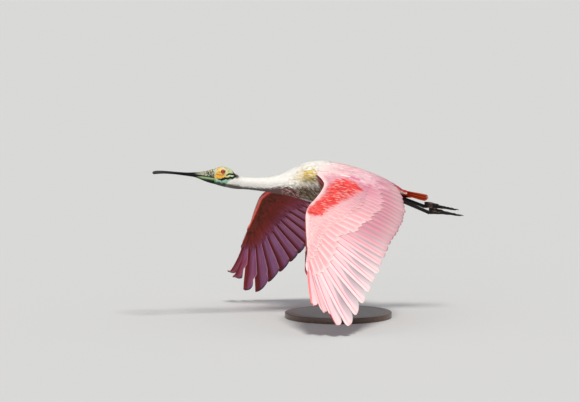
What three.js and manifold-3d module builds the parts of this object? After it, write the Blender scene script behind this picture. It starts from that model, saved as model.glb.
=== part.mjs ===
// A life-size model of a roseate spoonbill in level flight, in the middle of a downstroke,
// held by a plain stand.
// Millimetres, +Z up. The bill points along -X, and the bird's right side is +Y.
// The origin is the centre of the underside of the stand's base.
// Sizes inside the bird are measured from the point midway between its shoulders.
import * as THREE from "three";
import { mergeVertices } from "three/addons/utils/BufferGeometryUtils.js";
import Module from "manifold-3d";

const wasm = await Module();
wasm.setup();

// Driving dimensions
const GAP = 0.3; // between faces that touch
const SHOULDER_HEIGHT = 396; // shoulders above the floor, so that the wing tips clear it
const ROD_X = 66; // where the rod stands, behind the shoulders
const ROD_RADIUS = 5;
const ROD_SIDES = 16;
const COLLAR_TOP = 7;
const COLLAR_FOOT = 11;
const COLLAR_HEIGHT = 8;
const BASE_RADIUS = 150;
const BASE_THICKNESS = 16;
const BASE_EDGE = 3;
const BASE_SIDES = 40;

// Where one part of the body ends and the next begins, along X
const BILL_BASE_X = -303;
const NECK_FRONT_X = -226;
const NECK_BACK_X = -75;
const TORSO_END_X = 244;

// Upright sections of the body from the bill's base to the tail: X, top, underside, half width.
const BODY_SECTIONS = [
  [-303, 35.5, -4.5, 12.6],
  [-294, 38.6, -7.4, 15.2],
  [-283, 41.6, -11, 17.6],
  [-271, 42.6, -14.4, 19],
  [-258, 38, -17.6, 19.4],
  [-246, 31, -20.4, 18.4],
  [-236, 22.6, -22, 17],
  [-226, 15.2, -23, 16],
  [-212, 11, -24.2, 15.4],
  [-192, 9.2, -26.6, 15.6],
  [-163, 8.2, -31.2, 17],
  [-135, 9, -36, 19.6],
  [-113, 13.2, -40, 23.4],
  [-93, 19.4, -44, 28.6],
  [-75, 27, -48.6, 34.6],
  [-58, 34.6, -54, 41],
  [-38, 43, -60.6, 48],
  [-14, 49, -68.4, 54],
  [12, 49.8, -76, 58],
  [42, 45.6, -83, 60],
  [76, 38, -87, 60],
  [110, 28.6, -86.6, 56.6],
  [145, 16.6, -81, 50.4],
  [180, 2.4, -73, 41.6],
  [210, -12.6, -66, 31.8],
  [232, -26, -61, 23.4],
  [244, -33.4, -58.4, 18.6],
];
const WIDEST_SHARE = 0.57; // how far up a section its widest level lies

// Bill sections: X, gape line, half width, height above the gape, depth below it.
const BILL_SECTIONS = [
  [-303, 12.6, 12.6, 23, 17.2],
  [-318, 15, 11.4, 17.4, 15],
  [-336, 17.8, 10.2, 12.2, 10.4],
  [-356, 20.8, 9, 8, 4.8],
  [-378, 24.2, 8.6, 4.8, 3.8],
  [-398, 27, 9.4, 3.8, 3.2],
  [-414, 29.2, 12.8, 3.3, 2.8],
  [-430, 31.2, 18.6, 3, 2.5],
  [-446, 32.8, 23.6, 2.8, 2.3],
  [-459, 33.4, 25.4, 2.7, 2.2],
  [-468, 33, 23.4, 2.6, 2.1],
  [-474, 32, 17.6, 2.5, 1.9],
  [-477.5, 31, 8.4, 2.3, 1.6],
];

// Ribs of the wing from the outermost primary, number 0, to the innermost tertial, number 25.
// Each has a point on the leading edge and the tip of its feather, as X, distance from the mid-line, and Z,
// then the bow of the line between them, the flesh's thickness, and the share of the line that it covers.
const WING_RIBS = [
  { k: 0, lead: [-113, 262, -165], trail: [-134, 380, -313], bow: -12, thick: 6, flesh: 0.24 },
  { k: 1, lead: [-111, 256, -155], trail: [-109, 404, -331], bow: -12, thick: 6.4, flesh: 0.24 },
  { k: 2, lead: [-109, 250, -145], trail: [-75, 411, -362], bow: -11, thick: 6.8, flesh: 0.24 },
  { k: 3, lead: [-107, 244, -135], trail: [-37, 410, -364], bow: -10, thick: 7.2, flesh: 0.24 },
  { k: 4, lead: [-105, 238, -125], trail: [-6, 389, -337], bow: -9, thick: 7.6, flesh: 0.26 },
  { k: 6, lead: [-101, 226, -106], trail: [43, 346, -277], bow: -5, thick: 9, flesh: 0.3 },
  { k: 9, lead: [-94, 208, -78], trail: [95, 300, -211], bow: 2, thick: 12, flesh: 0.36 },
  { k: 12, lead: [-79, 189, -59], trail: [135, 255, -160], bow: 9, thick: 15, flesh: 0.42 },
  { k: 15, lead: [-47, 155, -42], trail: [170, 214, -131], bow: 14, thick: 16, flesh: 0.46 },
  { k: 18, lead: [-14, 110, -25], trail: [198, 172, -111], bow: 17, thick: 19, flesh: 0.5 },
  { k: 21, lead: [3, 78, -10], trail: [219, 131, -88], bow: 18, thick: 24, flesh: 0.52 },
  { k: 23, lead: [-2, 58, 5], trail: [227, 97, -64], bow: 18, thick: 28, flesh: 0.54 },
  { k: 25, lead: [-14, 42, 15], trail: [228, 62, -42], bow: 17, thick: 30, flesh: 0.55 },
];
const WRIST_RIB = 9.5; // the wing parts into hand and arm between two feathers
const LAST_RIB = 25; // ten primaries, twelve secondaries and four tertials

// Feathers of the wing
const VANE_MM = 0.6; // thickness
const VANE_TILT = 0.65; // how far the leading edge of a vane is raised, and its trailing edge lowered
const VANE_STATIONS = [0.36, 0.62, 0.84]; // shares of the wing's depth that all vanes share
const STATION_GAP = 0.03; // least share between two stations
const TIP_ROUND = 0.075; // share of the wing's depth over which a tip is rounded
const TIP_WIDTH = 0.3; // share of the width left at the very tip

// The outermost primary has a narrow leading vane, and the first tips curl up under the load.
const LEADING_VANE_MM = 4;
const LEADING_VANE_GROWTH = 1.7; // from each feather to the next
const CURL_MM = 12;
const CURL_RIBS = 2.4;
const CURL_START = 0.88; // share of the wing's depth

// Tips of the coverts: rib, share of the wing's depth
const FLIGHT_TIPS = [[0, 1], [26, 1]];
const GREATER_TIPS = [
  [0, 0.39],
  [4, 0.42],
  [6, 0.465],
  [9.4, 0.47],
  [11, 0.59],
  [14, 0.67],
  [18, 0.73],
  [26, 0.7],
];
const MEDIAN_TIPS = [[7, 0.27], [9.4, 0.31], [12, 0.42], [16, 0.5], [26, 0.5]];
const UNDER_TIPS = [[0, 0.33], [4, 0.36], [9.4, 0.42], [12, 0.52], [18, 0.58], [26, 0.56]];

// Tiers of feathers: height of their middle over the wing's surface, ribs of the first and the last one,
// the root's share of the flesh, most reach of the outer and the inner vane in millimetres, and their tips.
const TIERS = [
  { level: 0, first: 0, last: 25, root: 0.35, outerMm: 9, innerMm: 34, tips: FLIGHT_TIPS },
  { level: 2.3, first: 0.5, last: 25, root: 0.45, outerMm: 10, innerMm: 24, tips: GREATER_TIPS },
  { level: 4.6, first: 8, last: 24, root: 0.4, outerMm: 10, innerMm: 24, tips: MEDIAN_TIPS },
  { level: -2.3, first: 0.5, last: 22.5, root: 0.6, outerMm: 10, innerMm: 24, tips: UNDER_TIPS },
];
const OUTER_REACH = 0.38; // most reach of the vanes in ribs
const INNER_REACH = 0.87;
const SUNK_SHARE = 0.4; // share of its height that a vane has at its root
const RISEN_SHARE = 0.75; // share of the flesh by which it has all of it

// Facets of the body, from ring to ring and round each ring
const NECK_RINGS = 10;
const NECK_SIDES = 18;
const HEAD_RINGS = 8;
const HEAD_SIDES = 18;
const TORSO_RINGS = 16;
const TORSO_SIDES = 22;

// Eyes, lids, and the groove that carries the line of the mouth into the head
const EYE_X = -277.5;
const EYE_Z = 30.5;
const EYE_RADIUS = 6.4;
const EYE_SIDE = 10.8;
const LID_RADIUS = 5.9; // of the ring that the lids make
const LID_MM = 1.3; // radius of the lids' own edge
const LID_PLANE = 15.2; // how far the ring lies from the mid-line
const LID_TURN = 0.35; // the ring looks a little upwards
const MOUTH_CORNER = [-297, 16.5, 11.4];
const MOUTH_GROOVE = [13, 3.4, 0.6]; // length, depth and height from its middle
const MOUTH_SLOPE = 0.08;

// Bill
const BILL_TIP_X = -477.5;
const BILL_COLUMNS = 7;
const BILL_ROWS = 14;
const BILL_FLATNESS = 0.92; // 1 would bring the bill's edges to nothing
// Slits on top of the bill near its base
const NOSTRIL_PLACE = [-318, 4.6, 31.6];
const NOSTRIL_SIZE = [5.5, 0.9, 2.2];
const NOSTRIL_SLOPE = -0.25;

// Flesh of the wing, and the cut at the wrist
const FLESH_EDGE = 2.6; // thickness of the flesh where it ends in the feathers
const FLESH_FULLNESS = 1.3; // makes the flesh as thick as its rib says where it is fullest
const FLESH_OVERHANG = 0.35; // ribs past the first and the last feather
const FLESH_RIBS = 14;
const FLESH_SHARES = [0, 0.04, 0.15, 0.4, 0.7, 1]; // shares of its reach
const TIP_CHANCE = 0.02; // how much the feathers' lengths vary
const WRIST_CUT_SHARES = [-0.12, 0, 0.1, 0.2, 0.3, 0.4, 0.5, 0.6, 0.7, 0.8, 0.9, 1, 1.12];
const WRIST_CUT_DEPTH = 30;
const SLOPE_STEP = 0.02; // in ribs and shares, between two points that give a slope
const SEED = 7;

// Legs: knee, ankle, foot joint and the toes' lean, for a leg at a side
const LEGS = {
  left: { side: -1, knee: [125, 33, -64], ankle: [232, 23, -65], foot: [327, 22, -107.6], droop: 0.11 },
  right: { side: 1, knee: [125, 33, -58], ankle: [232, 23, -57], foot: [328, 22, -95.5], droop: 0.12 },
};
const THIGH_RADIUS = 19;
const THIGH_END_RADIUS = 6.2;
const ANKLE_GAP = 1; // along the leg, as the thigh and the tarsus meet at an angle
const SHIN_RADIUS = 5;
const TARSUS_RADIUS = 4.6;
const PAD_RADIUS = 6.8; // where the toes meet
const TOE_RADIUS = 3.9;
const TOE_END_RADIUS = 2.2;
const TOE_SPREAD = 42; // sideways step of a toe's root for its lean
const CLAW_LENGTH = 9;
const CLAW_RADIUS = 1.5;
const CLAW_TIP = 0.35;
const CLAW_HOOK = 1.6;
// Toes, folded together and trailing: name, length, lean to the outside, start above the foot, more droop
const TOES = [
  ["inner", 76, -0.05, 6.4, 0.06],
  ["middle", 94, 0, -0.6, 0],
  ["outer", 84, 0.07, 3.4, 0.03],
  ["hind", 34, -0.015, 9.6, 0],
];

// Tail: twelve feathers that fan from a short root, each under its inner neighbour, with coverts over them
const TAIL_PAIRS = 6;
const TAIL_COVERT_PAIRS = 4;
const TAIL_ROOT = [TORSO_END_X + GAP, -42.4];
const TAIL_SLOPE = 0.26; // down for each millimetre back
const TAIL_ROLL = 0.13; // the left side hangs lower, in radians
const TAIL_LENGTH = 80;
const TAIL_FAN = 0.06; // spread of neighbouring feathers, in radians
const TAIL_STEP = 1.6; // between the roots of neighbouring feathers
const TAIL_LAYER = 0.95; // each feather lies lower than the one over it
const TAIL_WIDTHS = [[0, 3.5], [0.75, 9.2], [0.93, 7.4], [1, 2.6]]; // share of length, half width
const TAIL_SINK = 3; // how far behind the rump's front a feather starts
const TAIL_SHORTENING = 0.015; // of each feather against the one over it
const TAIL_COVERT_SHARE = 0.62; // length of a covert
const TAIL_COVERT_SHORTENING = 0.04;
const TAIL_COVERT_RISE = 1.5;
// Sections of the rump: distance back, half width, top and underside from the line of the tail
const RUMP_SECTIONS = [
  [0, 17.6, 8.4, -15],
  [12, 16, 3, -14.6],
  [26, 11, -2, -11.6],
];
const RUMP_SIDES = 14;

// Plain colours
const PINK = 0xf2b3b8;
const WHITE = 0xf3efe9;
const SKIN = 0xc9d2a0;
const BILL = 0x4a4c46;
const DARK_LEG = 0x2c1f1f;
const CLAW = 0x121010;
const EYE_RED = 0xa81414;
const RUFOUS = 0xc8682e;
const STEEL = 0x8c9096;
const WOOD = 0x3a3632;

const paint = (colour, roughness = 0.8, metalness = 0) =>
  new THREE.MeshStandardMaterial({ color: colour, roughness, metalness });

// Smooth values between rows that start with their place: a cubic through every row.
function along(rows, place) {
  let i = 0;
  while (i < rows.length - 2 && place > rows[i + 1][0]) i += 1;
  const slope = (a, b, c) => (rows[b][a] - rows[c][a]) / (rows[b][0] - rows[c][0]);
  const span = rows[i + 1][0] - rows[i][0];
  const f = (place - rows[i][0]) / span;
  return rows[i].slice(1).map((_, n) => {
    const a = n + 1;
    const before = i > 0 ? slope(a, i + 1, i - 1) : slope(a, i + 1, i);
    const after = i + 2 < rows.length ? slope(a, i + 2, i) : slope(a, i + 1, i);
    const [p, q] = [rows[i][a], rows[i + 1][a]];
    const [m, w] = [before * span, after * span];
    const bend = (2 * p - 2 * q + m + w) * f ** 3 + (3 * q - 3 * p - 2 * m - w) * f ** 2;
    return bend + m * f + p;
  });
}

const ascending = (rows) => [...rows].sort((a, b) => a[0] - b[0]);
const bodyRows = ascending(BODY_SECTIONS);
const billRows = ascending(BILL_SECTIONS);
const ribRows = WING_RIBS.map((r) => [r.k, ...r.lead, ...r.trail, r.bow, r.thick, r.flesh]);

const spread = (from, to, count) =>
  Array.from({ length: count }, (_, i) => from + ((to - from) * i) / (count - 1));

// A closed mesh from positions and triangles.
function meshGeometry(points, faces) {
  const geometry = new THREE.BufferGeometry();
  geometry.setAttribute("position", new THREE.Float32BufferAttribute(points.flat(), 3));
  geometry.setIndex(faces.flat());
  return geometry;
}

// A closed body through rings of equally many points, in order, with flat ends.
function loftGeometry(rings) {
  const n = rings[0].length;
  const faces = [];
  for (let r = 0; r + 1 < rings.length; r += 1) {
    for (let i = 0; i < n; i += 1) {
      const [a, b] = [r * n + i, r * n + ((i + 1) % n)];
      faces.push([a, b, b + n], [a, b + n, a + n]);
    }
  }
  const last = (rings.length - 1) * n;
  for (let i = 1; i + 1 < n; i += 1) {
    faces.push([0, i + 1, i], [last, last + i, last + i + 1]);
  }
  return meshGeometry(rings.flat(), faces);
}

// A closed plate from two grids of points, its upper and its lower face, split alike into triangles.
function plateGeometry(upper, lower) {
  const [rows, columns] = [upper.length, upper[0].length];
  const size = rows * columns;
  const faces = [];
  for (let i = 0; i + 1 < rows; i += 1) {
    for (let j = 0; j + 1 < columns; j += 1) {
      const a = i * columns + j;
      const [b, c, d] = [a + 1, a + columns, a + columns + 1];
      faces.push([a, c, d], [a, d, b], [a + size, d + size, c + size], [a + size, b + size, d + size]);
    }
  }
  const wall = (a, b) => faces.push([a, b, b + size], [a, b + size, a + size]);
  for (let i = 0; i + 1 < rows; i += 1) {
    wall((i + 1) * columns, i * columns);
    wall(i * columns + columns - 1, (i + 1) * columns + columns - 1);
  }
  for (let j = 0; j + 1 < columns; j += 1) {
    wall(j, j + 1);
    wall((rows - 1) * columns + j + 1, (rows - 1) * columns + j);
  }
  return meshGeometry([...upper.flat(), ...lower.flat()], faces);
}

// A three.js geometry as a solid, and back again.
function solid(geometry) {
  const bare = geometry.index ? geometry.toNonIndexed() : geometry.clone();
  bare.deleteAttribute("normal");
  bare.deleteAttribute("uv");
  const merged = mergeVertices(bare, 1e-3);
  const made = new wasm.Manifold(
    new wasm.Mesh({
      numProp: 3,
      vertProperties: merged.attributes.position.array,
      triVerts: new Uint32Array(merged.index.array),
    }),
  );
  if (made.volume() > 0) return made;
  const turned = new Uint32Array(merged.index.array).reverse();
  const { array } = merged.attributes.position;
  return new wasm.Manifold(new wasm.Mesh({ numProp: 3, vertProperties: array, triVerts: turned }));
}

const largestPieces = (made, count) =>
  made.decompose().sort((a, b) => b.volume() - a.volume()).slice(0, count);

function geometryOf(made) {
  const mesh = made.getMesh();
  const geometry = new THREE.BufferGeometry();
  geometry.setAttribute("position", new THREE.BufferAttribute(mesh.vertProperties, 3));
  geometry.setIndex(new THREE.BufferAttribute(mesh.triVerts, 1));
  return geometry;
}

const bird = new THREE.Group();
bird.position.set(-ROD_X, 0, SHOULDER_HEIGHT);

const stand = new THREE.Group();
const model = new THREE.Group();
model.add(bird, stand);

function addNode(group, name, made, material) {
  const [piece] = largestPieces(made, 1);
  const node = new THREE.Mesh(geometryOf(piece), material);
  node.name = name;
  group.add(node);
}

// An upright ring of the body at X, grown outwards by a margin.
function bodyRing(x, sides, margin = 0) {
  const [top, underside, halfWidth] = along(bodyRows, x);
  const widest = underside + (top - underside) * WIDEST_SHARE;
  return Array.from({ length: sides }, (_, i) => {
    const turn = (2 * Math.PI * i) / sides;
    const height = Math.sin(turn) > 0 ? top - widest : widest - underside;
    return [
      x,
      (halfWidth + margin) * Math.cos(turn),
      widest + (height + margin) * Math.sin(turn),
    ];
  });
}

const bodyLoft = (from, to, rings, sides, margin = 0) =>
  solid(loftGeometry(spread(from, to, rings).map((x) => bodyRing(x, sides, margin))));

const torso = bodyLoft(NECK_BACK_X, TORSO_END_X, TORSO_RINGS, TORSO_SIDES);
const torsoClearance = bodyLoft(NECK_BACK_X, TORSO_END_X, TORSO_RINGS, TORSO_SIDES, GAP);

// A tapering limb with flat ends, from one point to another.
function limb(from, to, startRadius, endRadius, sides = 10, rings = 3) {
  const [a, b] = [new THREE.Vector3(...from), new THREE.Vector3(...to)];
  const direction = b.clone().sub(a).normalize();
  const side = new THREE.Vector3(0, 0, 1).cross(direction).normalize();
  const up = direction.clone().cross(side);
  const made = spread(0, 1, rings).map((f) => {
    const radius = startRadius + (endRadius - startRadius) * f;
    const middle = a.clone().lerp(b, f);
    return Array.from({ length: sides }, (_, i) => {
      const turn = (2 * Math.PI * i) / sides;
      return middle
        .clone()
        .addScaledVector(side, radius * Math.cos(turn))
        .addScaledVector(up, radius * Math.sin(turn))
        .toArray();
    });
  });
  return solid(loftGeometry(made));
}

const ball = (centre, radius, across = 12, down = 7) =>
  solid(new THREE.SphereGeometry(radius, across, down).translate(...centre));

const eyeCentre = (side) => [EYE_X, side * EYE_SIDE, EYE_Z];

function lids(side) {
  const ring = new THREE.TorusGeometry(LID_RADIUS, LID_MM, 5, 12);
  ring.rotateX(Math.PI / 2).rotateX(-side * LID_TURN).translate(EYE_X, side * LID_PLANE, EYE_Z);
  return solid(ring);
}

function mouthGroove(side) {
  const groove = new THREE.SphereGeometry(1, 10, 4).scale(...MOUTH_GROOVE);
  const [x, y, z] = MOUTH_CORNER;
  return solid(groove.rotateY(MOUTH_SLOPE).translate(x, side * y, z));
}

function headSolid() {
  const skull = bodyLoft(BILL_BASE_X + GAP, NECK_FRONT_X - GAP, HEAD_RINGS, HEAD_SIDES);
  return [1, -1].reduce(
    (made, side) =>
      made.add(lids(side)).subtract(ball(eyeCentre(side), EYE_RADIUS + GAP)).subtract(mouthGroove(side)),
    skull,
  );
}

// The upper or the lower half of the bill.
function billHalf(upperHalf) {
  const [faces, flats] = [[], []];
  const touch = upperHalf ? GAP / 2 : -GAP / 2;
  for (const x of spread(BILL_TIP_X, BILL_BASE_X, BILL_ROWS)) {
    const [gape, halfWidth, above, below] = along(billRows, x);
    const height = upperHalf ? above : -below;
    const [face, flat] = [[], []];
    for (const share of spread(-1, 1, BILL_COLUMNS)) {
      const round = Math.sqrt(1 - BILL_FLATNESS * share ** 2);
      face.push([x, share * halfWidth, gape + touch + height * round]);
      flat.push([x, share * halfWidth, gape + touch]);
    }
    faces.push(face);
    flats.push(flat);
  }
  return solid(upperHalf ? plateGeometry(faces, flats) : plateGeometry(flats, faces));
}

// Numbers from 0 to 1 that look drawn by chance and are the same on each run.
function seeded(seed) {
  let state = seed;
  return () => {
    state = (state * 1664525 + 1013904223) % 4294967296;
    return state / 4294967296;
  };
}

function upperBill() {
  return [1, -1].reduce((made, side) => {
    const slit = new THREE.SphereGeometry(1, 8, 4).scale(...NOSTRIL_SIZE);
    const [x, y, z] = NOSTRIL_PLACE;
    return made.subtract(solid(slit.rotateY(NOSTRIL_SLOPE).translate(x, side * y, z)));
  }, billHalf(true));
}

// Wing surface: a point at a rib number and a share of the way back from the leading edge.
function wingPoint(k, t, side) {
  const [x0, l0, z0, x1, l1, z1, bow] = along(ribRows, k);
  const lead = new THREE.Vector3(x0, l0, z0);
  const trail = new THREE.Vector3(x1, l1, z1);
  const chord = trail.clone().sub(lead);
  const [a, b] = [along(ribRows, k - 0.5), along(ribRows, k + 0.5)];
  const outward = new THREE.Vector3(...[0, 1, 2].map((i) => a[i] - b[i] + a[i + 3] - b[i + 3]));
  const up = chord.clone().cross(outward).normalize();
  const point = lead.addScaledVector(chord, t).addScaledVector(up, bow * 4 * t * (1 - t));
  return new THREE.Vector3(point.x, side * point.y, point.z);
}

// The upward normal of the wing's surface.
function wingNormal(k, t, side) {
  const back = wingPoint(k, t + SLOPE_STEP, side).sub(wingPoint(k, t - SLOPE_STEP, side));
  const outward = wingPoint(k - SLOPE_STEP, t, side).sub(wingPoint(k + SLOPE_STEP, t, side));
  return back.cross(outward).multiplyScalar(side).normalize();
}

const fleshReach = (k) => along(ribRows, k)[8];

// Half the thickness of the wing's flesh, which narrows to a thin edge.
function fleshHalf(k, t) {
  const [thick, reach] = along(ribRows, k).slice(7);
  const share = Math.min(1, Math.max(0, t / reach));
  return FLESH_EDGE / 2 + FLESH_FULLNESS * thick * Math.sqrt(share) * (1 - share);
}

// How far the outermost tips curl up from the wing's surface.
function curl(k, t) {
  const outermost = Math.min(1, Math.max(0, 1 - k / CURL_RIBS));
  const end = Math.max(0, (t - CURL_START) / (1 - CURL_START));
  return CURL_MM * outermost * end ** 2;
}

// A point that lies over the wing's surface by a height, as an array.
function overWing(k, t, height, side) {
  const over = height + curl(k, t);
  return wingPoint(k, t, side).addScaledVector(wingNormal(k, t, side), over).toArray();
}

function wingFlesh(side) {
  const grid = (sign) =>
    spread(-FLESH_OVERHANG, LAST_RIB + FLESH_OVERHANG, FLESH_RIBS).map((k) =>
      FLESH_SHARES.map((share) => {
        const t = share * fleshReach(k);
        return overWing(k, t, sign * fleshHalf(k, t), side);
      }),
    );
  return solid(plateGeometry(grid(1), grid(-1)));
}

// The distance between neighbouring ribs at a share of the wing's depth, square to the feathers.
function ribSpacing(k, t) {
  const across = wingPoint(k - 0.5, t, 1).sub(wingPoint(k + 0.5, t, 1));
  const back = wingPoint(k, t + SLOPE_STEP, 1).sub(wingPoint(k, t - SLOPE_STEP, 1)).normalize();
  return across.addScaledVector(back, -across.dot(back)).length();
}

// One feather of a tier, rooted in the flesh and rounded at its tip.
function vane(tier, k, side, chance) {
  const tip = along(tier.tips, k)[0] * (1 + (chance() - 0.5) * TIP_CHANCE);
  const root = tier.root * fleshReach(k);
  const inner = VANE_STATIONS.filter((t) => t > root + STATION_GAP && t < tip - TIP_ROUND);
  const rise = fleshReach(k) * RISEN_SHARE;
  const [upper, lower] = [[], []];
  for (const t of [root, ...inner, tip - TIP_ROUND / 3, tip]) {
    const rounding = Math.min(1, (tip - t) / TIP_ROUND);
    const width = TIP_WIDTH + (1 - TIP_WIDTH) * Math.sqrt(1 - (1 - rounding) ** 2);
    const spacing = ribSpacing(k, t);
    const risen = Math.min(1, Math.max(0, (t - root) / (rise - root)));
    const level = tier.level * (SUNK_SHARE + (1 - SUNK_SHARE) * risen);
    const outerMm = Math.min(tier.outerMm, LEADING_VANE_MM + k * LEADING_VANE_GROWTH);
    const outer = Math.min(OUTER_REACH, outerMm / spacing) * width;
    const innerReach = Math.min(INNER_REACH, tier.innerMm / spacing) * width;
    const edges = [[k - outer, VANE_TILT], [k + innerReach, -VANE_TILT]];
    upper.push(edges.map(([at, tilt]) => overWing(at, t, level + tilt + VANE_MM / 2, side)));
    lower.push(edges.map(([at, tilt]) => overWing(at, t, level + tilt - VANE_MM / 2, side)));
  }
  return solid(plateGeometry(upper, lower));
}

// The thin cut that parts the hand from the arm.
function wristCut(side) {
  const face = (sign) =>
    WRIST_CUT_SHARES.map((t) => {
      const k = WRIST_RIB + (sign * GAP) / 2 / ribSpacing(WRIST_RIB, Math.max(0, t));
      return [WRIST_CUT_DEPTH, -WRIST_CUT_DEPTH].map((height) => overWing(k, t, height, side));
    });
  return solid(plateGeometry(face(1), face(-1)));
}

// The hand and the arm of one wing, with all their feathers.
function wingPieces(side) {
  const chance = seeded(SEED);
  const vanes = TIERS.flatMap((tier) =>
    Array.from({ length: Math.floor(tier.last - tier.first) + 1 }, (_, i) =>
      vane(tier, tier.first + i, side, chance),
    ),
  );
  const whole = wasm.Manifold.union([wingFlesh(side), ...vanes]);
  return largestPieces(whole.subtract(wristCut(side)), 2);
}

// A block that fills all before a toe's end, with the gap, to trim its claw.
function beyond(tip, direction) {
  const size = CLAW_LENGTH * 2;
  const block = new THREE.BoxGeometry(size, size, size).translate(-size / 2, 0, 0);
  const turn = new THREE.Quaternion().setFromUnitVectors(new THREE.Vector3(1, 0, 0), direction);
  const corner = tip.clone().addScaledVector(direction, GAP);
  return solid(block.applyQuaternion(turn).translate(corner.x, corner.y, corner.z));
}

function addLeg(name) {
  const { side, knee, ankle, foot, droop } = LEGS[name];
  const at = ([x, l, z]) => new THREE.Vector3(x, side * l, z);
  const heel = at(foot);
  const thigh = limb(at(knee), at(ankle), THIGH_RADIUS, THIGH_END_RADIUS, 12, 4).subtract(torsoClearance);
  addNode(bird, `thigh_${name}`, thigh, paint(PINK));
  const start = at(ankle).lerp(heel, ANKLE_GAP / at(ankle).distanceTo(heel));
  const tarsus = limb(start, heel, SHIN_RADIUS, TARSUS_RADIUS).subtract(torsoClearance).subtract(thigh);
  const clear = limb(start, heel, SHIN_RADIUS + GAP, TARSUS_RADIUS + GAP);
  addNode(bird, `tarsus_${name}`, tarsus, paint(DARK_LEG, 0.6));
  const toes = TOES.map(([toe, length, lean, raise, more]) => {
    const root = heel.clone().add(new THREE.Vector3(0, side * lean * TOE_SPREAD, raise));
    const direction = new THREE.Vector3(1, side * lean, -droop - more).normalize();
    const tip = root.clone().addScaledVector(direction, length);
    const clawRoot = tip.clone().addScaledVector(direction, GAP);
    const clawTip = clawRoot.clone().addScaledVector(direction, CLAW_LENGTH);
    clawTip.z -= CLAW_HOOK;
    const claw = limb(clawRoot, clawTip, CLAW_RADIUS, CLAW_TIP, 7, 2);
    addNode(bird, `claw_${name}_${toe}`, claw.subtract(beyond(tip, direction)), paint(CLAW, 0.4));
    return limb(root, tip, TOE_RADIUS, TOE_END_RADIUS, 8, 2);
  });
  const pad = ball(heel.toArray(), PAD_RADIUS, 10, 6);
  const whole = wasm.Manifold.union([pad, ...toes]).subtract(clear);
  addNode(bird, `foot_${name}`, whole, paint(DARK_LEG, 0.6));
}

// A feather of the tail, numbered from the middle, at a height over the flight feathers.
function tailVane(side, index, length, rise) {
  const rootX = TAIL_ROOT[0] + TAIL_SINK;
  const place = (index + 0.5) * side;
  const turn = place * TAIL_FAN;
  const layer = index * 2 + (side < 0 ? 1 : 0);
  const back = new THREE.Vector3(Math.cos(turn), Math.sin(turn), -TAIL_SLOPE);
  const across = new THREE.Vector3(-Math.sin(turn), Math.cos(turn), TAIL_ROLL);
  const root = new THREE.Vector3(rootX, place * TAIL_STEP, TAIL_ROOT[1] - TAIL_SLOPE * TAIL_SINK);
  const edge = (share, width, sign, height) => {
    const point = root.clone().addScaledVector(back, length * share).addScaledVector(across, sign * width);
    const rolled = TAIL_ROLL * length * share * Math.sin(turn);
    return [point.x, point.y, point.z + rolled + height + rise - layer * TAIL_LAYER];
  };
  const face = (height) =>
    TAIL_WIDTHS.map(([share, width]) => [-1, 1].map((sign) => edge(share, width, sign, height)));
  return solid(plateGeometry(face(VANE_MM / 2), face(-VANE_MM / 2)));
}

function rump() {
  return RUMP_SECTIONS.map(([back, halfWidth, above, below]) => {
    const middle = TAIL_ROOT[1] - TAIL_SLOPE * back + (above + below) / 2;
    return Array.from({ length: RUMP_SIDES }, (_, i) => {
      const turn = (2 * Math.PI * i) / RUMP_SIDES;
      const z = middle + ((above - below) / 2) * Math.sin(turn);
      return [TAIL_ROOT[0] + back, halfWidth * Math.cos(turn), z];
    });
  });
}

function tailSolid() {
  const vanes = [];
  for (const side of [1, -1]) {
    for (let i = 0; i < TAIL_PAIRS; i += 1) {
      vanes.push(tailVane(side, i, TAIL_LENGTH * (1 - TAIL_SHORTENING * i), 0));
    }
    for (let i = 0; i < TAIL_COVERT_PAIRS; i += 1) {
      const length = TAIL_LENGTH * TAIL_COVERT_SHARE * (1 - TAIL_COVERT_SHORTENING * i);
      vanes.push(tailVane(side, i, length, TAIL_COVERT_RISE));
    }
  }
  return wasm.Manifold.union([solid(loftGeometry(rump())), ...vanes]);
}

addNode(bird, "torso", torso, paint(PINK));
addNode(bird, "neck", bodyLoft(NECK_FRONT_X, NECK_BACK_X - GAP, NECK_RINGS, NECK_SIDES), paint(WHITE));
addNode(bird, "head", headSolid(), paint(SKIN));
addNode(bird, "bill_upper", upperBill(), paint(BILL, 0.5));
addNode(bird, "bill_lower", billHalf(false), paint(BILL, 0.5));
addNode(bird, "tail", tailSolid(), paint(RUFOUS));
for (const [name, side] of [["left", -1], ["right", 1]]) {
  addNode(bird, `eye_${name}`, ball(eyeCentre(side), EYE_RADIUS), paint(EYE_RED, 0.1));
  const [arm, hand] = wingPieces(side);
  addNode(bird, `wing_${name}_arm`, arm.subtract(torsoClearance), paint(PINK));
  addNode(bird, `wing_${name}_hand`, hand, paint(PINK));
  addLeg(name);
}

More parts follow.
